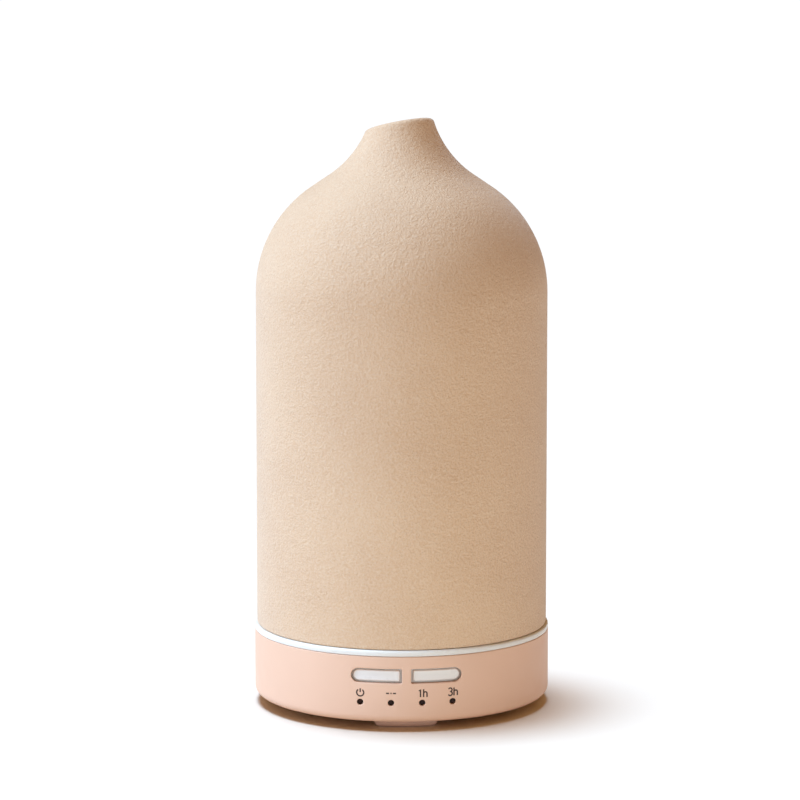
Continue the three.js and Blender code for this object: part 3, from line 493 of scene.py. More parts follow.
MATERIALS = {
    "ceramic": ceramic(),
    "base_plastic": moulded("base_plastic", BASE_COLOUR, 0.5, depth=0.008 * MM, spread=0.02),
    "diffuser_plastic": moulded(
        "milky_plastic", (0.80, 0.74, 0.66), 0.34, depth=0.002 * MM, spread=0.012, Subsurface_Weight=0.35,
        Subsurface_Radius=(0.004, 0.0036, 0.003), Subsurface_Scale=0.6),
    "button_plastic": moulded(
        "button_plastic", (0.84, 0.78, 0.72), 0.3, depth=0.002 * MM, spread=0.012,
        Coat_Weight=0.15, Coat_Roughness=0.2),
    "tank_plastic": moulded(
        "tank_plastic", (0.83, 0.82, 0.79), 0.36, depth=0.003 * MM, spread=0.014, Subsurface_Weight=0.25,
        Subsurface_Radius=(0.003, 0.0028, 0.0026), Subsurface_Scale=0.5),
    "foot_rubber": rubber("foot_rubber", (0.68, 0.40, 0.29)),
    "clear_silicone": rubber("clear_silicone", (0.62, 0.62, 0.58), 0.4),
    # Near black-brown: painted shade for the small indicator holes, given to the light guides that sit
    # behind them.
    "smoked_plastic": moulded(
        "smoked_plastic", (0.026, 0.008, 0.004), 0.5, spread=0.05, Specular_IOR_Level=0.2),
    "black_plastic": moulded("black_plastic", (0.016, 0.016, 0.018), 0.46, spread=0.12),
    "white_plastic": moulded("white_plastic", (0.70, 0.68, 0.62), 0.42),
    "circuit_board": circuit_board(),
    "led_lens": phosphor(),
    "steel": metal("zinc_plated_steel", (0.62, 0.63, 0.65), 0.3),
    "brass": metal("nickel_brass", (0.74, 0.60, 0.34), 0.24, rings=0.25 * MM),
    "aluminium": metal("extruded_aluminium", (0.72, 0.73, 0.74), 0.38),
    "copper_wire": winding(),
    "wire_jacket": rubber("wire_jacket", (0.50, 0.035, 0.025), 0.4),
}
INK = moulded("marking_ink", (0.055, 0.022, 0.013), 0.65, spread=0.1)
SLEEVE = moulded("capacitor_sleeve", (0.02, 0.03, 0.09), 0.25, spread=0.1, Coat_Weight=0.3)
FERRITE = moulded("ferrite", (0.035, 0.035, 0.037), 0.6, grain=0.3 * MM, depth=0.02 * MM, spread=0.15)

# ---------- Ceramic cover ----------

ALONG_SLOPE = Vector((-math.sin(SLOPE_ANGLE), math.cos(SLOPE_ANGLE)))
OUT_OF_SLOPE = Vector((math.cos(SLOPE_ANGLE), math.sin(SLOPE_ANGLE)))
SHOULDER_CENTRE = Vector((COVER_RADIUS - SHOULDER_RADIUS, SHOULDER_HEIGHT))
NECK_CENTRE = SHOULDER_CENTRE + OUT_OF_SLOPE * (SHOULDER_RADIUS + NECK_RADIUS) + ALONG_SLOPE * SLOPE_LENGTH


def neck_end(radius, bearing):
    """The angle round the neck's arc at which it meets the slanted mouth, by bisection."""
    rise = math.tan(MOUTH_SLANT) * math.cos(math.radians(bearing - MOUTH_BEARING))
    above = math.pi - 0.5
    below = math.pi + SLOPE_ANGLE
    for _ in range(40):
        middle = (above + below) / 2
        r, z = arc(NECK_CENTRE, radius, middle, middle, 1)[0]
        if z > MOUTH_HEIGHT + rise * r:
            above = middle
        else:
            below = middle
    return below


def cover_column(bearing):
    """The wall's closed section at a bearing, with a rounded foot and lip."""
    corners = [(COVER_RADIUS - COVER_WALL, COVER_BOTTOM, 0.7 * MM), (COVER_RADIUS, COVER_BOTTOM, 0.6 * MM)]
    sides = []
    for inset in (0, COVER_WALL):
        radius = NECK_RADIUS + inset
        end = neck_end(radius, bearing)
        side = arc(SHOULDER_CENTRE, SHOULDER_RADIUS - inset, 0, SLOPE_ANGLE, 22)
        side += arc(NECK_CENTRE, radius, math.pi + SLOPE_ANGLE, end + 2.4 * MM / radius, 16)
        sides.append(([(r, z, 0) for r, z in side], (*arc(NECK_CENTRE, radius, end, end, 1)[0], LIP_ROUND)))
    (outer, outer_lip), (inner, inner_lip) = sides
    return filleted([*corners, *outer, outer_lip, inner_lip, *reversed(inner)], 6)


def ceramic_cover():
    loops = []
    for c in range(COLUMNS):
        bearing = 360 * c / COLUMNS
        loops.append([at_bearing(r, bearing, z) for r, z in cover_column(bearing)])
    dressed(loft("stoneware_cover", loops, wrap=True), "cover", "ceramic", "ceramic_cover")


# ---------- Base shell with its openings ----------

CUTTER_DEPTH = 4 * MM  # how far a cutter reaches in past the base's bore
CUTTER_REACH = 2 * MM  # how far it stands out of the surface
CUTTER_FLARE = 1.1  # its size outside the surface, as a share of the rounded rim


def button_outline(side, inset, corner=OPENING_CORNER):
    """An opening's outline of (x, z): squared at the middle of the front, half-round at the far end."""
    inner = OPENING_INNER_X + inset
    half = OPENING_HALF - inset
    corner = min(corner, half * 0.9)
    start = inner + corner
    centre = OPENING_OUTER_X - OPENING_HALF
    along = [start + (centre - start) * i / 14 for i in range(1, 14)]
    points = arc((start, BUTTON_HEIGHT - half + corner), corner, math.pi, 1.5 * math.pi, 4)
    points += [(x, BUTTON_HEIGHT - half) for x in along]
    points += arc((centre, BUTTON_HEIGHT), half, -math.pi / 2, math.pi / 2, 18)
    points += [(x, BUTTON_HEIGHT + half) for x in reversed(along)]
    points += arc((start, BUTTON_HEIGHT + half - corner), corner, math.pi / 2, math.pi, 4)
    return [(side * x, z) for x, z in points]


def on_cylinder(outline, radius, facing=-1):
    """An outline's (x, z) points laid on a cylinder round the axis, on its front or its back."""
    return [Vector((x, facing * math.sqrt(radius * radius - x * x), z)) for x, z in outline]


def hole_cutter(outline_at, edge, facing=-1):
    """A cutter for a hole in the base's wall, its rim rounded by edge. outline_at(outset) draws it."""
    sections = [(0, BASE_BORE - CUTTER_DEPTH)]
    sections += [(outset, BASE_RADIUS - depth) for outset, depth in rounding(edge, 5)]
    sections.append((edge * CUTTER_FLARE, BASE_RADIUS + CUTTER_REACH))
    return loft("cutter", [on_cylinder(outline_at(outset), radius, facing) for outset, radius in sections])


def base_shell():
    lip_bore = 41.6 * MM
    lip_bottom = 4.95 * MM
    lip_top = 6.3 * MM
    floor_bore = 43.6 * MM
    shell = lathe("moulded_base", filleted([
        (floor_bore, BASE_BOTTOM, 0.2 * MM),
        (BASE_RADIUS, BASE_BOTTOM, 2.6 * MM),
        (BASE_RADIUS, BASE_TOP, 0.3 * MM),
        (BASE_BORE, BASE_TOP, 0.2 * MM),
        (BASE_BORE, lip_top, 0.3 * MM),
        (lip_bore, lip_top, 0.2 * MM),
        (lip_bore, lip_bottom, 0.1 * MM),
        (floor_bore, lip_bottom, 0.1 * MM),
    ], 8), FINE_COLUMNS)
    cutters = []
    for side in (-1, 1):
        cutters.append(hole_cutter(
            lambda outset, side=side: button_outline(side, -outset, OPENING_CORNER + outset), 0.28 * MM))
    for bearing in INDICATOR_BEARINGS:
        x = turn(bearing).x * BASE_RADIUS
        cutters.append(hole_cutter(
            lambda outset, x=x: circle(x, INDICATOR_HEIGHT, INDICATOR_RADIUS + outset), 0.14 * MM))
    cutters.append(hole_cutter(
        lambda outset: circle(0, SOCKET_HEIGHT, SOCKET_HOLE_RADIUS + outset, 72), 0.5 * MM, 1))
    dressed(carved(shell, *cutters), "base", "base_plastic", "base_shell")


def button(side, prefix):
    """A curved cap with its retaining flange and stem, and the switch plunger behind it."""
    face = BASE_RADIUS - BUTTON_RECESS
    flange_back = 43 * MM
    flange_face = 44.9 * MM
    stem_end = 43.2 * MM
    edge = 0.4 * MM
    sections = [(-BUTTON_FLANGE, flange_back), (-BUTTON_FLANGE, flange_face), (BUTTON_GAP, flange_face)]
    sections += [(BUTTON_GAP + inset, face - depth) for inset, depth in rounding(edge, 6)]
    inside = OPENING_HALF - BUTTON_GAP - edge
    sections += [(BUTTON_GAP + edge + inside * share, face) for share in (0.25, 0.5, 0.75, 0.97)]
    cap = loft(prefix + "_button_cap", [on_cylinder(button_outline(side, i), r) for i, r in sections])
    low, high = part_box(prefix + "_switch_plunger")
    x = (low.x + high.x) / 2
    stem = rod("stem", (x, -stem_end, BUTTON_HEIGHT), (x, low.y - 0.1 * MM, BUTTON_HEIGHT),
               2 * MM, 0.2 * MM)
    body = prefix + "_control"
    dressed(joined(cap, stem), body, "button_plastic", prefix + "_button")
    plunger = rod(prefix + "_plunger_pin", (x, low.y, BUTTON_HEIGHT), (x, high.y, BUTTON_HEIGHT),
                  1.7 * MM, 0.25 * MM)
    dressed(plunger, body, "white_plastic", prefix + "_switch_plunger")


# ---------- Printed marks over the indicator lights ----------

MARK_HEIGHT = 12.4 * MM
MARK_SIZE = 2.5 * MM
MARK_STROKE = 0.22 * MM  # half the width of a line
MARK_PROUD = 0.02 * MM


def mark_lines(kind):
    """Lines of one mark, in a box that reaches from -0.5 to 0.5 in height."""
    if kind == "power":
        return [arc((0, -0.03), 0.44, math.radians(55), math.radians(-235), 24), [(0, 0.02), (0, 0.5)]]
    if kind == "interval":
        return [[(-0.62, 0), (-0.24, 0)], [(-0.08, 0), (0.08, 0)], [(0.24, 0), (0.62, 0)]]
    hour = [[(0.18, -0.5), (0.18, 0.5)], arc((0.4, -0.03), 0.2, math.radians(160), 0, 10) + [(0.6, -0.5)]]
    if kind == "one_hour":
        return [[(-0.42, 0.3), (-0.22, 0.48), (-0.22, -0.5)]] + hour
    upper = arc((-0.3, 0.25), 0.23, math.radians(155), math.radians(-90), 12)
    lower = arc((-0.3, -0.235), 0.255, math.radians(90), math.radians(-155), 12)
    return [upper + lower[1:]] + hour


def printed_marks():
    """Thin strips of ink that follow the curve of the base."""
    vertices = []
    faces = []
    for bearing, kind in zip(INDICATOR_BEARINGS, ("power", "interval", "one_hour", "three_hours")):
        x0 = turn(bearing).x * BASE_RADIUS
        for line in mark_lines(kind):
            points = [Vector((x0 + u * MARK_SIZE, MARK_HEIGHT + v * MARK_SIZE)) for u, v in line]
            for i, point in enumerate(points):
                along = points[min(i + 1, len(points) - 1)] - points[max(i - 1, 0)]
                across = Vector((-along.y, along.x)).normalized() * MARK_STROKE
                edge = [(point + across)[:], (point - across)[:]]
                vertices += on_cylinder(edge, BASE_RADIUS + MARK_PROUD)
                vertices += on_cylinder(edge[::-1], BASE_RADIUS - MARK_PROUD)
                n = len(vertices)
                if i:
                    for k in range(4):
                        m = (k + 1) % 4
                        faces.append((n - 8 + k, n - 8 + m, n - 4 + m, n - 4 + k))
                if i in (0, len(points) - 1):
                    faces.append((n - 4, n - 3, n - 2, n - 1))
    dressed(mesh_object("printed_marks", vertices, faces), "base", "smoked_plastic", material=INK)


# ---------- Light ring, tank, seals and splash cap ----------


def light_ring():
    ledge_bore = 41.6 * MM
    ledge_bottom = 22 * MM
    ledge_top = 23.4 * MM
    neck = 45.1 * MM
    seat = 43.8 * MM
    ring = lathe("light_diffuser_ring", filleted([
        (ledge_bore, ledge_bottom, 0.2 * MM),
        (neck, ledge_bottom, 0.2 * MM),
        (neck, BASE_TOP + 0.1 * MM, 0),
        (RING_RADIUS, BASE_TOP + 0.1 * MM, 0.2 * MM),
        (RING_RADIUS, RING_TOP, 0.75 * MM),
        (seat, RING_TOP, 0.2 * MM),
        (seat, ledge_top, 0.15 * MM),
        (ledge_bore, ledge_top, 0.2 * MM),
    ], 6))
    pegs = []
    peg_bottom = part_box("light_ring")[0].z
    board_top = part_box("light_board")[1].z
    for bearing in (40, 130, 230, 320):
        x, y, _ = at_bearing(43.3 * MM, bearing, 0)
        pegs.append(upright("peg", x, y, 1.2 * MM, board_top + 0.05 * MM, ledge_bottom + 0.3 * MM))
        pegs.append(upright("peg", x, y, 0.7 * MM, peg_bottom, ledge_bottom, 0.2 * MM))
    dressed(joined(ring, *pegs), "base", "diffuser_plastic", "light_ring")


def water_tank():
    """Bowl with a flange, a locating rib, a raised fill line, an air duct and four screw bosses."""
    line_height = 57.1 * MM
    line_proud = 0.3 * MM
    collar = 16.8 * MM
    collar_bottom = 22 * MM
    pocket = 12.2 * MM
    pocket_roof = 26.2 * MM
    mouth = 8 * MM
    rib = (40.9 * MM, 42.2 * MM)
    rib_top = 28.8 * MM
    flange = (24 * MM, 25.8 * MM)
    flange_radius = 43.6 * MM
    bowl = lathe("water_bowl", filleted([
        (pocket, collar_bottom, 0.2 * MM),
        (collar, collar_bottom, 0.4 * MM),
        (collar, 26.6 * MM, 0.6 * MM),
        (TANK_BORE, 27.2 * MM, 0.6 * MM),
        (TANK_BORE, flange[0], 0.2 * MM),
        (flange_radius, flange[0], 0.2 * MM),
        (flange_radius, flange[1], 0.2 * MM),
        (rib[1], flange[1], 0.1 * MM),
        (rib[1], rib_top, 0.5 * MM),
        (rib[0], rib_top, 0.3 * MM),
        (rib[0], flange[1], 0.3 * MM),
        (TANK_RADIUS, flange[1], 0.5 * MM),
        (TANK_RADIUS, TANK_RIM, 0.7 * MM),
        (TANK_BORE, TANK_RIM, 0.7 * MM),
        (TANK_BORE, line_height + 2 * line_proud, 0),
        (TANK_BORE - line_proud, line_height + line_proud, 0),
        (TANK_BORE - line_proud, line_height - line_proud, 0),
        (TANK_BORE, line_height - 2 * line_proud, 0),
        (TANK_BORE, 32 * MM, 1.6 * MM),
        (TANK_BORE - 3 * MM, 29.4 * MM, 2 * MM),
        (11 * MM, 28.4 * MM, 2 * MM),
        (mouth, 27.8 * MM, 0.6 * MM),
        (mouth, pocket_roof, 0.2 * MM),
        (pocket, pocket_roof, 0.1 * MM),
    ]))
    duct_x = -29.5 * MM

    def duct_outline(half_x, half_y, corner):
        return lambda inset: rounded_box(
            duct_x - half_x + inset, duct_x + half_x - inset,
            inset - half_y, half_y - inset, corner - inset)

    added = [pillar("duct", duct_outline(5 * MM, 9 * MM, 1 * MM), 27.1 * MM, 66 * MM, high_edge=0.6 * MM)]
    removed = [pillar("duct_hole", duct_outline(3.4 * MM, 7.4 * MM, 0.8 * MM), 20 * MM, 75 * MM)]
    for bearing in BOSS_BEARINGS:
        x, y, _ = at_bearing(BOSS_CIRCLE, bearing, 0)
        added.append(upright("boss", x, y, 3.2 * MM, 6.3 * MM, 24.5 * MM, 0.2 * MM))
        removed.append(upright("pilot", x, y, 1.35 * MM, 4 * MM, 17.3 * MM))
    for bearing in CLAMP_BEARINGS:
        x, y, _ = at_bearing(CLAMP_CIRCLE, bearing, 0)
        removed.append(upright("pilot", x, y, 1.05 * MM, 20 * MM, 26 * MM))
    dressed(carved(joined(bowl, *added), *removed), "base", "tank_plastic", "water_tank")


def splash_cap():
    """A domed lid with a chimney, whose skirt slips over the tank."""
    wall = 1.8 * MM
    bore = SKIRT_RADIUS - wall
    chimney = (6.3 * MM, 8 * MM)

    def roof(drop):
        return [(r, z, 0) for r, z in bezier([
            (SKIRT_RADIUS - drop * 2, TANK_RIM + 1.6 * MM),
            (SKIRT_RADIUS - drop * 1.7, TANK_RIM + 9.8 * MM - drop * 0.5),
            (22 * MM, TANK_RIM + 12.9 * MM - drop),
            (9.2 * MM - drop * 1.6, TANK_RIM + 15 * MM - drop * 0.9),
        ], 26)]

    cap = lathe("splash_guard", filleted([
        (bore, SKIRT_BOTTOM, 0.6 * MM),
        (SKIRT_RADIUS, SKIRT_BOTTOM, 0.6 * MM),
        *roof(0),
        (chimney[1], TANK_RIM + 16.5 * MM, 1 * MM),
        (chimney[1], CHIMNEY_TOP, 0.7 * MM),
        (chimney[0], CHIMNEY_TOP, 0.7 * MM),
        *reversed(roof(wall)),
        (bore - wall, TANK_RIM + 0.1 * MM, 0.2 * MM),
        (bore, TANK_RIM + 0.1 * MM, 0.2 * MM),
    ]))
    dressed(cap, "cap", "tank_plastic", "splash_cap")


def square_ring(name, inner, outer, bottom, top, edge, columns=COLUMNS):
    corners = [(inner, bottom, edge), (outer, bottom, edge), (outer, top, edge), (inner, top, edge)]
    return lathe(name, filleted(corners, 3), columns)


def seals_and_disc():
    gasket = square_ring("flange_gasket", 41.9 * MM, 43.3 * MM, 23.45 * MM, 23.95 * MM, 0.15 * MM)
    dressed(gasket, "base", "clear_silicone", "tank_gasket")
    inner = 8.6 * MM
    outer = 12 * MM
    groove = 10.3 * MM
    low = 22.1 * MM
    high = 26.1 * MM
    groove_low = 23.4 * MM
    groove_high = 24.8 * MM
    seal = lathe("disc_seal", filleted([
        (inner, low, 0.4 * MM),
        (outer, low, 0.4 * MM),
        (outer, high, 0.4 * MM),
        (inner, high, 0.5 * MM),
        (inner, groove_high, 0.2 * MM),
        (groove, groove_high, 0),
        (groove, groove_low, 0),
        (inner, groove_low, 0.2 * MM),
    ]), DISC_COLUMNS)
    dressed(seal, "base", "clear_silicone", "transducer_seal")
    disc = lathe("mist_disc", filleted([
        (0, 23.5 * MM, 0),
        (10 * MM, 23.5 * MM, 0.2 * MM),
        (10 * MM, 24.5 * MM, 0.2 * MM),
        (7.4 * MM, 24.55 * MM, 0.2 * MM),
        (7.2 * MM, 24.7 * MM, 0.1 * MM),
        (0, 24.7 * MM, 0),
    ]), DISC_COLUMNS)
    dressed(disc, "base", "brass", "transducer_disc")
    clamp = square_ring("disc_clamp", 7 * MM, 16.6 * MM, 20.7 * MM, 21.9 * MM, 0.3 * MM, DISC_COLUMNS)
    holes = []
    for bearing in CLAMP_BEARINGS:
        x, y, _ = at_bearing(CLAMP_CIRCLE, bearing, 0)
        holes.append(upright("hole", x, y, 1.2 * MM, 18 * MM, 24 * MM))
    dressed(carved(clamp, *holes), "base", "steel", "transducer_clamp")


# ---------- Underside ----------


def divided(outline, parts, longest=2 * MM):
    """The outline with each edge that is longer than longest split into equal parts."""
    points = []
    for i, point in enumerate(outline):
        here = Vector(point)
        there = Vector(outline[(i + 1) % len(outline)])
        count = parts if (there - here).length > longest else 1
        points += [here.lerp(there, k / count)[:] for k in range(count)]
    return points


def foot_outline(bearing, inset, grow=0.0):
    """A rounded piece of a ring seen from above, drawn in by inset."""
    middle = (FOOT_INNER + FOOT_OUTER) / 2
    reach = math.radians(FOOT_HALF_SPAN) * middle + grow - inset
    corner = 2.2 * MM + grow - inset
    flat = rounded_box(-reach, reach, FOOT_INNER - grow + inset, FOOT_OUTER + grow - inset, corner)
    return [at_bearing(r, bearing + math.degrees(u / middle), 0)[:2] for u, r in divided(flat, 12)]


def feet():
    for node, bearing in FEET.items():
        pad = pillar(node + "_pad", lambda inset, b=bearing: foot_outline(b, inset), 0, FOOT_TOP,
                     low_edge=1.9 * MM, steps=8)
        dressed(pad, "base", "foot_rubber", node)


def slot_outline(half_length, half_width, centre, outset):
    """A slot with round ends, along X, seen from above."""
    half = half_width + outset
    x, y = centre
    right = arc((x + half_length - half_width, y), half, -math.pi / 2, math.pi / 2, 8)
    left = arc((x - half_length + half_width, y), half, math.pi / 2, 1.5 * math.pi, 8)
    return right + left


def floor_cutter(outline_at, edge, top):
    """A cutter up through the bottom cover that rounds the rim of its hole by edge."""
    levels = [(FLOOR_BOTTOM - CUTTER_REACH, edge * CUTTER_FLARE)]
    levels += [(FLOOR_BOTTOM + rise, outset) for outset, rise in reversed(rounding(edge, 4))]
    levels.append((top, 0))
    return loft("cutter", [[(x, y, z) for x, y in outline_at(outset)] for z, outset in levels])


BOARD_POSTS = ((9 * MM, -24 * MM), (36 * MM, 4 * MM))
GRILLE_PITCH = 3.1 * MM
GRILLE_RADIUS = 11 * MM


def bottom_cover():
    """The floor plate with its screw pads, board posts, guides, foot pockets and fan grille."""
    cover = square_ring("floor_plate", 0, FLOOR_RADIUS, FLOOR_BOTTOM, FLOOR_TOP, 0)
    added = []
    removed = []
    for bearing in BOSS_BEARINGS:
        x, y, _ = at_bearing(BOSS_CIRCLE, bearing, 0)
        added.append(upright("pad", x, y, 3.4 * MM, FLOOR_TOP - 0.5 * MM, 6.2 * MM))
        removed.append(floor_cutter(
            lambda outset, x=x, y=y: circle(x, y, 2.9 * MM + outset), 0.25 * MM, FLOOR_BOTTOM + 1.8 * MM))
        removed.append(upright("shank_hole", x, y, 1.7 * MM, 0, 10 * MM))
    for x, y in BOARD_POSTS:
        added.append(upright("post", x, y, 2.6 * MM, FLOOR_TOP - 0.5 * MM, 7.55 * MM))
        removed.append(upright("pilot", x, y, 1.05 * MM, 4 * MM, 10 * MM))
    for side in (-1, 1):
        middle = side * 17.15 * MM
        added.append(block("guide", middle - 1.25 * MM, middle + 1.25 * MM,
                           -36.9 * MM, -33.8 * MM, FLOOR_TOP - 0.5 * MM, 15 * MM, 0.2 * MM))
    removed.append(block("board_slot", -16.9 * MM, 16.9 * MM, -36 * MM, -34.6 * MM, 5 * MM, 20 * MM))
    for bearing in FEET.values():
        removed.append(floor_cutter(
            lambda outset, b=bearing: foot_outline(b, 0, 0.15 * MM + outset),
            0.15 * MM, FOOT_TOP + 0.1 * MM))
    for n in (-3, -2, -1, 0, 1, 2, 3):
        y = n * GRILLE_PITCH
        half = math.sqrt(GRILLE_RADIUS ** 2 - y * y)
        centre = (FAN_CENTRE.x, FAN_CENTRE.y + y)
        removed.append(floor_cutter(
            lambda outset, half=half, centre=centre: slot_outline(half, 0.8 * MM, centre, outset),
            0.25 * MM, FLOOR_TOP + 1 * MM))
    for node in ("fan_screw_1", "fan_screw_2"):
        low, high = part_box(node)
        removed.append(upright("pilot", (low.x + high.x) / 2, (low.y + high.y) / 2, 1.05 * MM,
                               FLOOR_BOTTOM + 0.4 * MM, 10 * MM))
    dressed(carved(joined(cover, *added), *removed), "base", "base_plastic", "bottom_cover")


def screw(node, head_radius, head_height, shank_radius, down=True):
    """A pan-head screw with a cross recess and a rolled thread, head down or head up."""
    low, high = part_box(node)
    middle = (low + high) / 2
    length = high.z - low.z
    pitch = shank_radius * 0.55
    crest = []
    turns = int((length - head_height - shank_radius * 1.6) / pitch)
    for i in range(turns):
        z = head_height + 0.2 * MM + i * pitch
        crest += [(shank_radius * 0.8, z, 0), (shank_radius, z + pitch / 2, 0)]
    outline = filleted([
        (0, 0, 0),
        (head_radius * 0.86, 0, 0.35 * head_height),
        (head_radius, head_height * 0.55, 0.3 * head_height),
        (head_radius, head_height, 0.06 * MM),
        (shank_radius * 0.8, head_height, 0),
        *crest,
        (shank_radius * 0.8, length - shank_radius * 1.3, 0),
        (0, length, 0),
    ], 4)
    piece = lathe(node + "_pan_head", outline, 32)
    half = head_radius * 0.58
    blade = 0.28 * MM
    deep = head_height * 0.6
    for wide, narrow in ((half, blade), (blade, half)):
        carved(piece, block("recess", -wide, wide, -narrow, narrow, -1 * MM, deep))
    if down:
        piece.data.transform(Matrix.Translation((middle.x, middle.y, low.z)))
    else:
        over = Matrix.Rotation(math.pi, 4, "X")
        piece.data.transform(Matrix.Translation((middle.x, middle.y, high.z)) @ over)
    dressed(piece, "base", "steel", node)


def screws():
    for i in (1, 2, 3, 4):
        screw(f"case_screw_{i}", 2.7 * MM, 1.6 * MM, 1.2 * MM)
    for i in (1, 2):
        screw(f"clamp_screw_{i}", 1.9 * MM, 1.2 * MM, 0.9 * MM)
        screw(f"fan_screw_{i}", 2.4 * MM, 1.4 * MM, 0.95 * MM, down=False)
        screw(f"board_screw_{i}", 2.1 * MM, 1.3 * MM, 0.9 * MM, down=False)


# ---------- Power socket and electronics ----------


def power_socket():
    low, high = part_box("power_socket")
    nose_radius = 4.2 * MM
    bore = 3.15 * MM
    body = block("jack_body", low.x, high.x, low.y, 43.6 * MM, low.z, high.z, 0.3 * MM)
    nose = rod("nose", (0, 43 * MM, SOCKET_HEIGHT), (0, high.y, SOCKET_HEIGHT), nose_radius, 0.25 * MM, 64)
    hole = rod("bore", (0, 34 * MM, SOCKET_HEIGHT), (0, 50 * MM, SOCKET_HEIGHT), bore, 0, 64)
    flare = 0.45 * MM
    flare_outline = [(0, 0), (bore, 0), (bore + flare, flare), (bore + flare, 2 * MM), (0, 2 * MM)]
    countersink = lathe("flare", flare_outline, 64)
    place = Matrix.Translation((0, high.y - 0.4 * MM, SOCKET_HEIGHT))
    countersink.data.transform(place @ Matrix.Rotation(-math.pi / 2, 4, "X"))
    dressed(carved(joined(body, nose), hole, countersink), "base", "black_plastic", "power_socket")
    low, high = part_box("power_socket_pin")
    pin = rod("jack_pin", (0, low.y, SOCKET_HEIGHT), (0, high.y, SOCKET_HEIGHT), 1 * MM, 0.45 * MM, 32)
    dressed(pin, "base", "brass", "power_socket_pin")


def turned_component(name, node, outline, slot, material=None):
    """A turned part that stands where the CAD node does. The outline's heights start at its foot."""
    low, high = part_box(node)
    middle = (low + high) / 2
    piece = lathe(name, filleted([(r * MM, low.z + z * MM, f * MM) for r, z, f in outline], 4), 64,
                  (middle.x, middle.y))
    dressed(piece, "base", slot, node, material=material)


def board_components():
    turned_component("smoothing_capacitor", "capacitor", [
        (0, 0, 0), (3.7, 0, 0.2), (4, 0.6, 0.25), (3.75, 1.35, 0.25), (4, 2.1, 0.25), (4, 11, 0.5),
        (3.1, 11, 0.1), (3, 10.85, 0.05), (0, 10.85, 0),
    ], "black_plastic", SLEEVE)
    turned_component("wound_inductor", "inductor", [
        (0, 0, 0), (4, 0, 0.2), (4, 1.2, 0.2), (2.95, 1.9, 0.2), (2.95, 6.1, 0.2), (4, 6.8, 0.2),
        (4, 8, 0.3), (0, 8, 0),
    ], "black_plastic", FERRITE)
    turned_component("motor_winding", "fan_coil", [
        (2.8, 0, 0.3), (5.8, 0, 0.6), (5.8, 5, 0.6), (2.8, 5, 0.3),
    ], "copper_wire")


KEPT_NODES = {
    "light_board": ("circuit_board", 0.1),
    "button_board": ("circuit_board", 0.1),
    "main_board": ("circuit_board", 0.1),
    "mist_switch": ("black_plastic", 0.2),
    "light_switch": ("black_plastic", 0.2),
    # The light guides wear the painted shade of the holes in front of them.
    "indicator_light_guide": ("smoked_plastic", 0.12),
    "button_ribbon": ("white_plastic", 0.1),
    "fan_frame": ("black_plastic", 0.25),
    "fan_rotor": ("black_plastic", 0.12),
    "controller_chip": ("black_plastic", 0.15),
    "driver_transistor": ("black_plastic", 0.2),
    "heat_sink": ("aluminium", 0.12),
    "fan_header": ("white_plastic", 0.15),
    "transducer_header": ("white_plastic", 0.15),
    "light_header": ("white_plastic", 0.15),
    "fan_lead": ("wire_jacket", 0),
    "transducer_lead": ("wire_jacket", 0),
    "light_lead": ("wire_jacket", 0),
    **{f"indicator_led_{i}": ("led_lens", 0.1) for i in (1, 2, 3, 4)},
    **{f"mood_light_led_{i}": ("led_lens", 0.12) for i in (1, 2, 3, 4, 5, 6)},
}


def kept_nodes():
    """CAD nodes shown as they are, with softened edges."""
    for name, (slot, edge) in KEPT_NODES.items():
        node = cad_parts[name]
        node.data.materials.clear()
        node.data.materials.append(MATERIALS[slot])
        weld = node.modifiers.new("weld", "WELD")
        weld.merge_threshold = 1e-6
        if edge:
            bevel = node.modifiers.new("edges", "BEVEL")
            bevel.width = edge * MM
            bevel.segments = 2
            bevel.limit_method = "ANGLE"
            bevel.angle_limit = math.radians(40)
            bevel.harden_normals = True


# ---------- Studio ----------

FLOOR_HALF = 30
WINDOW_ANGLE = 34  # how many degrees across a window lamp looks
WINDOWS = (
    ("high_window", 3.6, (0.74, 1.0, 1.25), (-0.50, 0.02, 0.87)),
    ("side_window", 1.10, (0.52, 1.0, 1.80), (-0.88, -0.17, 0.45)),
)
TABLE_ANGLE = 18
TABLE_STRENGTH = 1.07
TABLE_COLOUR = (0.80, 1.0, 1.19)
TABLE_TILTS = (("table_light_right", -0.01), ("table_light_middle", -0.10), ("table_light_left", -0.19))
SKY_COLOUR = (1.0, 0.50, 0.12, 1)
SKY_STRENGTH = 0.29
CAMERA_LENS = 216
CAMERA_ELEVATION = math.radians(9.42)
CAMERA_AZIMUTH = math.radians(-1.9)
CAMERA_DISTANCE = 1.533
CAMERA_TARGET = Vector((-0.52 * MM, 0, 97.6 * MM))


def aimed(obj, toward):
    """Turns a lamp or camera so that it looks back along the given direction."""
    obj.rotation_euler = toward.to_track_quat("Z", "Y").to_euler()


def sun(name, strength, angle, colour, toward):
    """A distant soft lamp, angle degrees across, that shines from the given direction."""
    light = bpy.data.lights.new(name, "SUN")
    light.energy = strength
    light.angle = math.radians(angle)
    light.color = colour
    lamp = new_object(name, light)
    aimed(lamp, Vector(toward))
    return lamp


def linked(name, obj, state):
    """A collection that limits a lamp to obj, or keeps it off obj."""
    collection = bpy.data.collections.new(name)
    collection.objects.link(obj)
    collection.collection_objects[0].light_linking.link_state = state
    return collection


def floor_plane():
    mesh = bpy.data.meshes.new("studio_floor")
    half = FLOOR_HALF
    corners = [(-half, -half, 0), (half, -half, 0), (half, half, 0), (-half, half, 0)]
    mesh.from_pydata(corners, [], [(0, 1, 2, 3)])
    mesh.materials.append(studio_floor())
    floor = new_object("studio_floor", mesh)
    return floor


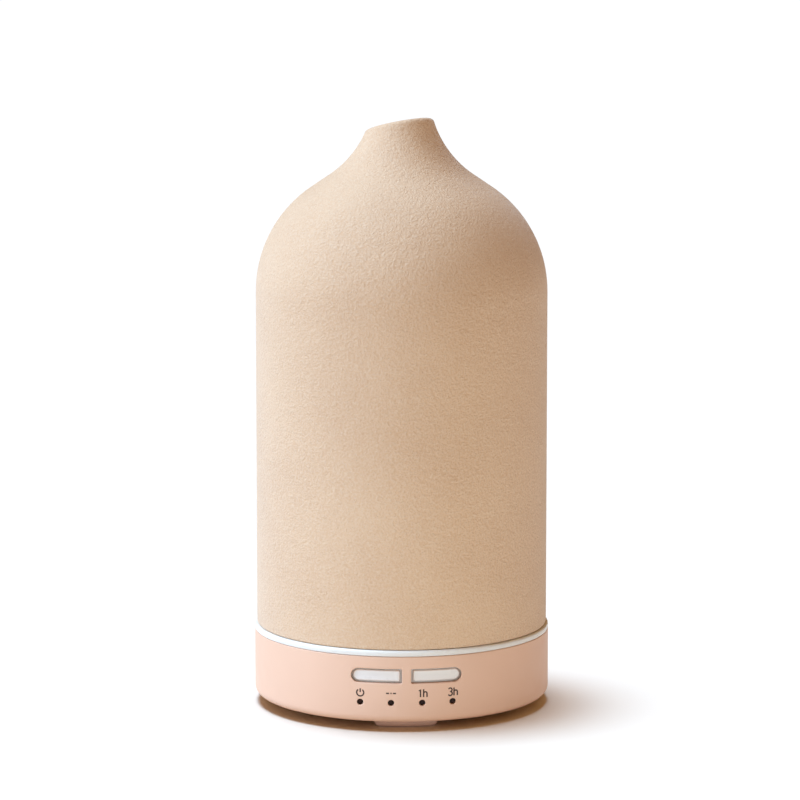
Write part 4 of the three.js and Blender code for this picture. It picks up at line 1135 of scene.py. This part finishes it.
def front_card(receivers):
    """A low strip of light before the object that lifts its lower part."""
    card = bpy.data.lights.new("front_card", "AREA")
    card.shape = "RECTANGLE"
    card.size = 0.4
    card.size_y = 0.04
    card.energy = 0.12
    card.color = (0.68, 0.92, 1.05)
    lamp = new_object("front_card", card)
    lamp.location = (0.05, -0.20, 0.02)
    aimed(lamp, Vector((0, -1, 0)))
    lamp.visible_camera = False
    lamp.light_linking.receiver_collection = receivers


def lights(floor):
    """Windows from the left and a front card on the object, and three tilted lamps on the floor alone."""
    all_but_floor = linked("all_but_floor", floor, "EXCLUDE")
    only_floor = linked("only_floor", floor, "INCLUDE")
    for name, strength, colour, toward in WINDOWS:
        lamp = sun(name, strength, WINDOW_ANGLE, colour, toward)
        lamp.light_linking.receiver_collection = all_but_floor
    for name, tilt in TABLE_TILTS:
        lamp = sun(name, TABLE_STRENGTH, TABLE_ANGLE, TABLE_COLOUR, (tilt, 0.07, 1))
        lamp.light_linking.receiver_collection = only_floor
    front_card(all_but_floor)
    world = bpy.data.worlds.new("studio")
    world.use_nodes = True
    background = world.node_tree.nodes["Background"]
    background.inputs["Color"].default_value = SKY_COLOUR
    background.inputs["Strength"].default_value = SKY_STRENGTH
    bpy.context.scene.world = world


def front_camera():
    data = bpy.data.cameras.new("camera")
    data.lens = CAMERA_LENS
    data.sensor_width = 36
    data.clip_end = 100
    camera = new_object("camera", data)
    level = math.cos(CAMERA_ELEVATION)
    back = Vector((math.sin(CAMERA_AZIMUTH) * level, -math.cos(CAMERA_AZIMUTH) * level,
                   math.sin(CAMERA_ELEVATION)))
    camera.location = CAMERA_TARGET + back * CAMERA_DISTANCE
    aimed(camera, back)
    bpy.context.scene.camera = camera


def studio():
    lights(floor_plane())
    front_camera()
    bpy.context.scene.view_settings.view_transform = "Standard"


ceramic_cover()
base_shell()
button(-1, "mist")
button(1, "light")
printed_marks()
light_ring()
water_tank()
splash_cap()
seals_and_disc()
feet()
bottom_cover()
screws()
power_socket()
board_components()
kept_nodes()
studio()
